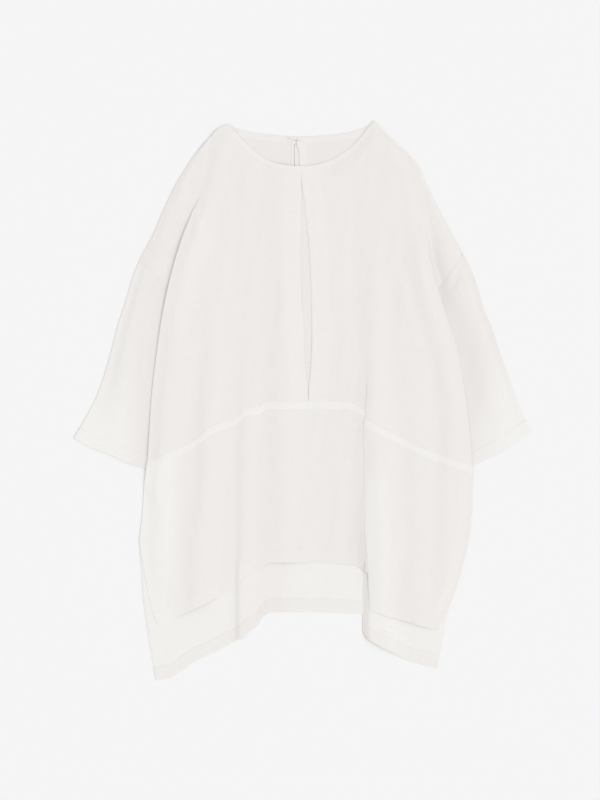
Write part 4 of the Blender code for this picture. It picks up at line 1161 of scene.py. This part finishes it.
strips = {}
edge, inside = offset_edge(FRONT_TOP, np.linspace(-108.0, 107.0, 150), BINDING_WIDTH)
name = "neck_binding_front"
pieces[name], strips[name] = strip(name, edge, inside, on_front, 0.5)
slit_at_neck = curve(BACK_SLIT, 415.0, 1), curve(BACK_SLIT, 415.0, 2)
NECK_SPANS = (("neck_facing_left", -101.0, slit_at_neck[0]), ("neck_facing_right", slit_at_neck[1], 96.0))
for name, start, end in NECK_SPANS:
    edge, inside = offset_edge(BACK_TOP, np.linspace(start, end, 70), NECK_FACING_WIDTH)
    pieces[name], strips[name] = strip(name, edge, inside, on_back, 0.45)
slit_y = np.linspace(409.5, 366.0, 24)
slit_left, slit_right = curve(BACK_SLIT, slit_y, 1), curve(BACK_SLIT, slit_y, 2)
# Name, edges, height. The left hem lies on the back, and the right one is the underlap below the right half
SLIT_HEMS = (
    ("back_slit_hem_left", slit_left - 4.0, slit_left, on_back),
    ("back_slit_hem_right", slit_left + 0.7, slit_right + 1.2, lambda x, y: 0.45 + 0.0 * x),
)
for name, first, last, height in SLIT_HEMS:
    first, last = (np.stack([edge, slit_y], axis=-1)[::-1] for edge in (first, last))
    pieces[name], strips[name] = strip(name, last, first, height, 0.35)

facing_heights = front_heights.copy()
facing_heights[0] -= BINDING_WIDTH
facing_x, facing_z = front_points(facing_heights)
facing_grid = np.stack([facing_x, facing_heights, facing_z - SINGLE / 2 - FACING_WALL / 2 - 0.05], axis=-1)
FACINGS = (
    ("slit_facing_left", slice(SLIT_LEFT - 9, SLIT_LEFT)), ("slit_facing_right", slice(SLIT_RIGHT + 1, SLIT_RIGHT + 10)),
)
for name, columns in FACINGS:
    pieces[name] = cloth(name + "_cloth", facing_grid[:, columns], FACING_WALL, 0.3)
for name in [n for n in pieces if n.startswith(("neck", "back_slit", "slit_facing"))]:
    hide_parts(name)

# %% [markdown]
# Stitches
#
# A row of sewing is a chain of short threads that dive into the cloth. Each stitch here is a slim spindle of
# ten points: two ends sunk into the cloth and two rings of four between them. One spindle is worked out once,
# and numpy sets copies of it along a line, turned to the line's direction and the cloth's normal.

# %% Stitches
STITCH_LENGTH = 2.7
STITCH_GAP = 0.55
THREAD = 0.34  # width of the thread
# A spindle's points: along (in halves of its length), across and up (in halves of the thread)
SPINDLE = np.array([
    (-1.0, 0.0, -1.2), (-0.6, -1.0, 0.1), (-0.6, 0.0, 1.0), (-0.6, 1.0, 0.1), (-0.6, 0.0, -1.0),
    (0.6, -1.0, 0.1), (0.6, 0.0, 1.0), (0.6, 1.0, 0.1), (0.6, 0.0, -1.0), (1.0, 0.0, -1.2),
])
RING = ((1, 2), (2, 3), (3, 4), (4, 1))
SPINDLE_FACES = [(0, b, a) for a, b in RING] + [(a, b, b + 4, a + 4) for a, b in RING]
SPINDLE_FACES += [(9, a + 4, b + 4) for a, b in RING]


def stitched(points, normals, lift, start=1.5):
    """Spindles along a line: centres at equal steps of its length, lifted off the cloth along its normal."""
    run = np.concatenate([[0.0], np.cumsum(np.linalg.norm(np.diff(points, axis=0), axis=1))])
    step = STITCH_LENGTH + STITCH_GAP
    at = np.arange(start + STITCH_LENGTH / 2, run[-1] - start - STITCH_LENGTH / 2, step)
    place = np.stack([np.interp(at, run, points[:, k]) for k in range(3)], axis=-1)
    ahead = np.stack([np.interp(at + 0.5, run, points[:, k]) for k in range(3)], axis=-1)
    along = (ahead - place) / np.linalg.norm(ahead - place, axis=1, keepdims=True)
    normal = np.stack([np.interp(at, run, normals[:, k]) for k in range(3)], axis=-1)
    normal = normal / np.linalg.norm(normal, axis=1, keepdims=True)
    across = np.cross(normal, along)
    shape = SPINDLE * np.array([STITCH_LENGTH / 2, THREAD / 2, THREAD / 2])
    frame_of = np.stack([along, across, normal], axis=1)
    return place[:, None] + normal[:, None] * lift + np.einsum("pk,skc->spc", shape, frame_of)


def sew(name, rows_of_stitches, body="root"):
    """One mesh of all the stitches in a list of arrays of spindles."""
    spindles = np.concatenate(rows_of_stitches)
    faces = []
    base = np.arange(len(spindles))[:, None] * len(SPINDLE)
    for size in (3, 4):
        template = np.array([f for f in SPINDLE_FACES if len(f) == size])
        faces += (base[:, None] + template[None]).reshape(-1, size).tolist()
    mesh = bpy.data.meshes.new(name)
    mesh.from_pydata(((spindles.reshape(-1, 3) - MIDDLE) * MM).tolist(), [], faces)
    mesh.shade_smooth()
    piece = bpy.data.objects.new(name, mesh)
    scene.collection.objects.link(piece)
    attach(piece, body)
    print(name, "holds", len(spindles), "stitches")
    return piece


def along_row(grid, row, columns, lift):
    """Stitches along a row of a panel's grid."""
    return stitched(grid[row, columns], normals_of(grid)[row, columns], lift)


ON_SINGLE = SINGLE / 2 + 0.05
ON_DOUBLED = DOUBLED / 2 + 0.05
every = slice(None)
skirt_body = skirt_grid[:, body]
STITCH_ROW = SKIRT_ROWS + 1
front_hem_stitches = [along_row(skirt_body, STITCH_ROW, every, ON_DOUBLED)]
back_stitch_row = len(back_heights) - 9
back_columns = slice(B_LEFT, B_RIGHT + 1)
back_hem_stitches = [
    along_row(back_grid, back_stitch_row, back_columns, ON_DOUBLED),
    along_row(back_grid, back_stitch_row, back_columns, -ON_DOUBLED),
]
pieces["front_hem_stitches"] = sew("front_hem_stitches", front_hem_stitches)
pieces["back_hem_stitches"] = sew("back_hem_stitches", back_hem_stitches)

cuff_stitches = [along_row(sleeve_grids[n], SLEEVE_ROWS + 1, every, ON_DOUBLED) for n in sleeve_grids]
pieces["cuff_stitches"] = sew("cuff_stitches", cuff_stitches)

slit_rows = np.flatnonzero((front_heights[:, SLIT_LEFT] < 368.0) & (front_heights[:, SLIT_LEFT] > -2.0))
slit_left_line = front_grid[slit_rows, SLIT_LEFT] - np.array([2.0, 0.0, 0.0])
slit_right_line = front_grid[slit_rows, SLIT_RIGHT] + np.array([2.0, 0.0, 0.0])
slit_normals = normals_of(front_grid)[slit_rows, SLIT_LEFT - 1]
slit_stitches = [stitched(line, slit_normals, ON_SINGLE) for line in (slit_left_line, slit_right_line)]
pieces["slit_stitches"] = sew("slit_stitches", slit_stitches)

neck_grid = strips["neck_binding_front"]
neck_stitches = [along_row(neck_grid, 5, every, TRIM / 2)]
for name in ("neck_facing_left", "neck_facing_right"):
    neck_stitches.append(along_row(strips[name], 5, every, TRIM / 2))
pieces["neck_stitches"] = sew("neck_stitches", neck_stitches)

# %% [markdown]
# The hook and the eye
#
# The slit at the back of the neck closes with a small wire hook that catches a wire loop. A wire is a round
# profile carried along a path. The path here is a smooth curve through a few points, and the profile's frame
# is found from the path's direction and one fixed direction, which works because the wire lies nearly flat.

# %% Hook and eye
WIRE = 0.32  # radius of the wire
WIRE_SIDES = 10
NECK_TOP_Y = 416.0
WIRE_LOW = SINGLE + STRIP_PROUD + WIRE + 1.0
WIRE_HIGH = WIRE_LOW + 0.8


def smooth_path(points, count):
    """A smooth path through points: each coordinate is a curve over the running length."""
    points = np.array(points, float)
    run = np.concatenate([[0.0], np.cumsum(np.linalg.norm(np.diff(points, axis=0), axis=1))])
    at = np.linspace(0.0, run[-1], count)
    return np.stack([curve(tuple(zip(run, points[:, k])), at) for k in range(3)], axis=-1)


def wire(name, path):
    """A tube: for each path point, centre + r (cos a side + sin a up), and a closing point at each end."""
    along = np.gradient(path, axis=0)
    along = along / np.linalg.norm(along, axis=1, keepdims=True)
    side = np.cross(along, (0.0, 0.0, 1.0))
    side = side / np.maximum(np.linalg.norm(side, axis=1, keepdims=True), 1e-6)
    up = np.cross(side, along)
    angle = np.arange(WIRE_SIDES) * 2.0 * np.pi / WIRE_SIDES
    ring = np.cos(angle)[None, :, None] * side[:, None] + np.sin(angle)[None, :, None] * up[:, None]
    tube = path[:, None] + WIRE * ring
    rows = len(path)
    ends = np.stack([path[0] - along[0] * WIRE * 0.6, path[-1] + along[-1] * WIRE * 0.6])
    points = np.concatenate([tube.reshape(-1, 3), ends])
    number = np.arange(rows * WIRE_SIDES).reshape(rows, WIRE_SIDES)
    nxt = np.roll(number, -1, axis=1)
    faces = np.stack([number[:-1], number[1:], nxt[1:], nxt[:-1]], axis=-1).reshape(-1, 4).tolist()
    faces += np.stack([nxt[0], np.full(WIRE_SIDES, rows * WIRE_SIDES), number[0]], axis=-1).tolist()
    faces += np.stack([number[-1], np.full(WIRE_SIDES, rows * WIRE_SIDES + 1), nxt[-1]], axis=-1).tolist()
    mesh = bpy.data.meshes.new(name)
    mesh.from_pydata(((points - MIDDLE) * MM).tolist(), [], faces)
    mesh.shade_smooth()
    piece = bpy.data.objects.new(name, mesh)
    scene.collection.objects.link(piece)
    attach(piece, "root")
    print(name, "is a wire of", round(float(np.linalg.norm(np.diff(path, axis=0), axis=1).sum()), 1), "mm")
    return piece


turn = np.radians(np.arange(0, 271, 30))
near_loop = [(-21.0 - 1.7 * np.sin(a), NECK_TOP_Y + 2.4 + 1.5 * np.cos(a), WIRE_LOW) for a in turn[::-1]]
far_loop = [(-21.0 - 1.7 * np.sin(a), NECK_TOP_Y - 2.4 - 1.5 * np.cos(a), WIRE_LOW) for a in turn]
tip = [
    (-12.0, NECK_TOP_Y + 0.9, WIRE_LOW), (-7.0, NECK_TOP_Y + 0.9, WIRE_HIGH), (-2.0, NECK_TOP_Y + 0.8, WIRE_HIGH),
    (-0.5, NECK_TOP_Y, WIRE_HIGH), (-2.0, NECK_TOP_Y - 0.8, WIRE_HIGH), (-7.0, NECK_TOP_Y - 0.9, WIRE_HIGH),
    (-12.0, NECK_TOP_Y - 0.9, WIRE_LOW),
]
pieces["hook"] = wire("hook_wire", smooth_path(near_loop + tip + far_loop, 160))
arc = np.radians(np.arange(-120, 121, 15))
eye_points = [(2.0 - 4.2 * np.cos(a), NECK_TOP_Y + 3.0 * np.sin(a), WIRE_LOW) for a in arc]
pieces["eye"] = wire("eye_wire", smooth_path(eye_points, 70))
for name in ("hook", "eye"):
    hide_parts(name)

# %% [markdown]
# Effects that the finishes share
#
# Linen is a plain weave of uneven threads: seen close, each crossing is a small crown, and seen from a step
# away, only the thick places in the threads show, as short streaks that run along and across the cloth. Both
# are made once, as a node group that reads the UV map, and the linen material uses the group with its
# default numbers.


# %% Weave node group
def group_with(name, inputs, outputs):
    """An empty node group with named float or vector sockets, and its input and output nodes."""
    group = bpy.data.node_groups.new(name, "ShaderNodeTree")
    for label, default in inputs:
        socket = group.interface.new_socket(name=label, in_out="INPUT", socket_type="NodeSocketFloat")
        socket.default_value = default
    for label in outputs:
        group.interface.new_socket(name=label, in_out="OUTPUT", socket_type="NodeSocketFloat")
    return group, group.nodes.new("NodeGroupInput"), group.nodes.new("NodeGroupOutput")


def maths(tree, operation, first, second=None, third=None):
    """A Math node: each argument is a socket or a number. It gives the node's output."""
    node = tree.nodes.new("ShaderNodeMath")
    node.operation = operation
    for socket, value in zip(node.inputs, (first, second, third)):
        if isinstance(value, bpy.types.NodeSocket):
            tree.links.new(value, socket)
        elif value is not None:
            socket.default_value = value
    return node.outputs[0]


def streaks(tree, u, v, long, short):
    """Noise drawn out along one direction of the cloth: the coordinates are divided by a length and a width."""
    join = tree.nodes.new("ShaderNodeCombineXYZ")
    tree.links.new(maths(tree, "DIVIDE", u, long), join.inputs[0])
    tree.links.new(maths(tree, "DIVIDE", v, short), join.inputs[1])
    noise = tree.nodes.new("ShaderNodeTexNoise")
    noise.noise_dimensions = "2D"
    noise.inputs["Scale"].default_value = 1.0
    noise.inputs["Detail"].default_value = 2.0
    tree.links.new(join.outputs[0], noise.inputs["Vector"])
    return noise.outputs["Fac"]


def make_weave():
    """Tone and height of a plain weave. A crossing's height is |sin(pi u / p) sin(pi v / p)|, and the tone is
    the sum of two streaky noises, one along the warp and one along the weft, around a middle of 0.5."""
    inputs = (("Thread Spacing", 0.0006), ("Slub Length", 0.03), ("Slub Width", 0.0012))
    tree, start, end = group_with("plain weave", inputs, ("Tone", "Height"))
    uv = tree.nodes.new("ShaderNodeUVMap")
    uv.uv_map = "cut"
    parts = tree.nodes.new("ShaderNodeSeparateXYZ")
    tree.links.new(uv.outputs[0], parts.inputs[0])
    u, v = parts.outputs[0], parts.outputs[1]
    spacing, long, wide = start.outputs[0], start.outputs[1], start.outputs[2]
    turns = [maths(tree, "MULTIPLY", maths(tree, "DIVIDE", c, spacing), np.pi) for c in (u, v)]
    crossing = maths(tree, "MULTIPLY", maths(tree, "SINE", turns[0]), maths(tree, "SINE", turns[1]))
    crown = maths(tree, "ABSOLUTE", crossing)
    weft = streaks(tree, u, v, long, wide)
    warp = streaks(tree, u, v, wide, long)
    tone = maths(tree, "MULTIPLY", maths(tree, "ADD", warp, weft), 0.5)
    tree.links.new(tone, end.inputs["Tone"])
    tree.links.new(maths(tree, "ADD", crown, maths(tree, "MULTIPLY", tone, 2.0)), end.inputs["Height"])
    return tree


weave = make_weave()
print("the weave group has", len(weave.nodes), "nodes")

# %% [markdown]
# Linen
#
# Undyed linen that has been washed pale is nearly white, a little warm, and quite matt. It is thin, so what
# lies under it shows through: one layer over a white floor looks paler and cooler than two layers with shade
# between them, and so does a pressed seam allowance. The colour runs between two tones, by each point's value,
# which also holds painted shade beside folds and edges and painted light past a fold's edge.

# %% Linen material
LINEN_SHADED = (0.809, 0.779, 0.755, 1.0)
LINEN_PALE = (0.862, 0.848, 0.826, 1.0)
STREAK_CONTRAST = 0.10
WEAVE_DEPTH = 0.00022


def mixed(tree, share, first, second):
    """A colour between two colours, by a share from 0 to 1."""
    node = tree.nodes.new("ShaderNodeMix")
    node.data_type = "RGBA"
    tree.links.new(share, node.inputs["Factor"])
    for socket, value in ((node.inputs["A"], first), (node.inputs["B"], second)):
        if isinstance(value, bpy.types.NodeSocket):
            tree.links.new(value, socket)
        else:
            socket.default_value = value
    return node.outputs["Result"]


def make_linen(name, shaded, palest):
    """Linen whose colour goes from the shaded to the palest tone by the points' paleness, which holds painted
    shade and painted light, times the weave's streaks, with the weave as bump."""
    made = bpy.data.materials.new(name)
    made.use_nodes = True
    tree = made.node_tree
    shader = tree.nodes["Principled BSDF"]
    shader.inputs["Roughness"].default_value = 0.88
    shader.inputs["Specular IOR Level"].default_value = 0.25
    shader.inputs["Sheen Weight"].default_value = 0.08
    shader.inputs["Sheen Roughness"].default_value = 0.6
    # The attribute read here holds the cloth's tone and its painted shade and painted light.
    tone = tree.nodes.new("ShaderNodeAttribute")
    tone.attribute_name = "tone_and_painted_light"
    pattern = tree.nodes.new("ShaderNodeGroup")
    pattern.node_tree = weave
    base = mixed(tree, tone.outputs["Fac"], shaded, palest)
    streak = maths(tree, "MULTIPLY_ADD", pattern.outputs["Tone"], STREAK_CONTRAST, 1.0 - STREAK_CONTRAST / 2)
    tinted = tree.nodes.new("ShaderNodeVectorMath")
    tinted.operation = "SCALE"
    tree.links.new(base, tinted.inputs[0])
    tree.links.new(streak, tinted.inputs["Scale"])
    tree.links.new(tinted.outputs[0], shader.inputs["Base Color"])
    bump = tree.nodes.new("ShaderNodeBump")
    bump.inputs["Strength"].default_value = 0.35
    bump.inputs["Distance"].default_value = WEAVE_DEPTH
    tree.links.new(pattern.outputs["Height"], bump.inputs["Height"])
    tree.links.new(bump.outputs[0], shader.inputs["Normal"])
    return made


linen = make_linen("linen", LINEN_SHADED, LINEN_PALE)
for name, piece in pieces.items():
    if piece.name.endswith("_cloth"):
        piece.data.materials.append(linen)
print("linen is on", sum(p.name.endswith("_cloth") for p in pieces.values()), "pieces")

# %% [markdown]
# Thread, metal and floor
#
# Sewing thread is a little whiter and shinier than the cloth. The hook is plated wire, whose fine scratches
# run all ways, so noise on its roughness is enough. The floor is a pale sheet of paper with a faint mottle.


# %% Thread, metal and floor materials
def plain_material(name, colour, roughness, metallic, noise_scale, spread):
    """A Principled material with noise on its roughness: roughness + spread (noise - 0.5)."""
    made = bpy.data.materials.new(name)
    made.use_nodes = True
    tree = made.node_tree
    shader = tree.nodes["Principled BSDF"]
    shader.inputs["Base Color"].default_value = colour
    shader.inputs["Metallic"].default_value = metallic
    place = tree.nodes.new("ShaderNodeTexCoord")
    noise = tree.nodes.new("ShaderNodeTexNoise")
    noise.inputs["Scale"].default_value = noise_scale
    noise.inputs["Detail"].default_value = 3.0
    tree.links.new(place.outputs["Object"], noise.inputs["Vector"])
    value = maths(tree, "MULTIPLY_ADD", noise.outputs["Fac"], spread, roughness - spread / 2)
    tree.links.new(value, shader.inputs["Roughness"])
    return made


thread = plain_material("thread", (0.90, 0.885, 0.865, 1.0), 0.6, 0.0, 900.0, 0.2)
metal = plain_material("hook_metal", (0.96, 0.955, 0.95, 1.0), 0.4, 1.0, 1500.0, 0.3)
paper = plain_material("paper", FLOOR_COLOUR, 0.9, 0.0, 30.0, 0.1)
for name, piece in pieces.items():
    if name.endswith("_stitches"):
        piece.data.materials.append(thread)
    elif name in ("hook", "eye"):
        piece.data.materials.append(metal)
floor.data.materials.append(paper)
print("materials:", ", ".join(sorted(m.name for m in bpy.data.materials)))

# %% [markdown]
# How big the pieces were cut
#
# Last, the cut areas are added up. Each size was measured while the sheet was made, from the lengths along
# its threads, so the finished cloth can be checked against it: linen folds, but it doesn't stretch.

total = sum(area for _, _, area in cut_sizes.values())
print("cloth in all, without seam allowances:", round(total, 2), "square metres")

# %% End
print("the pieces of the dressed model are made")
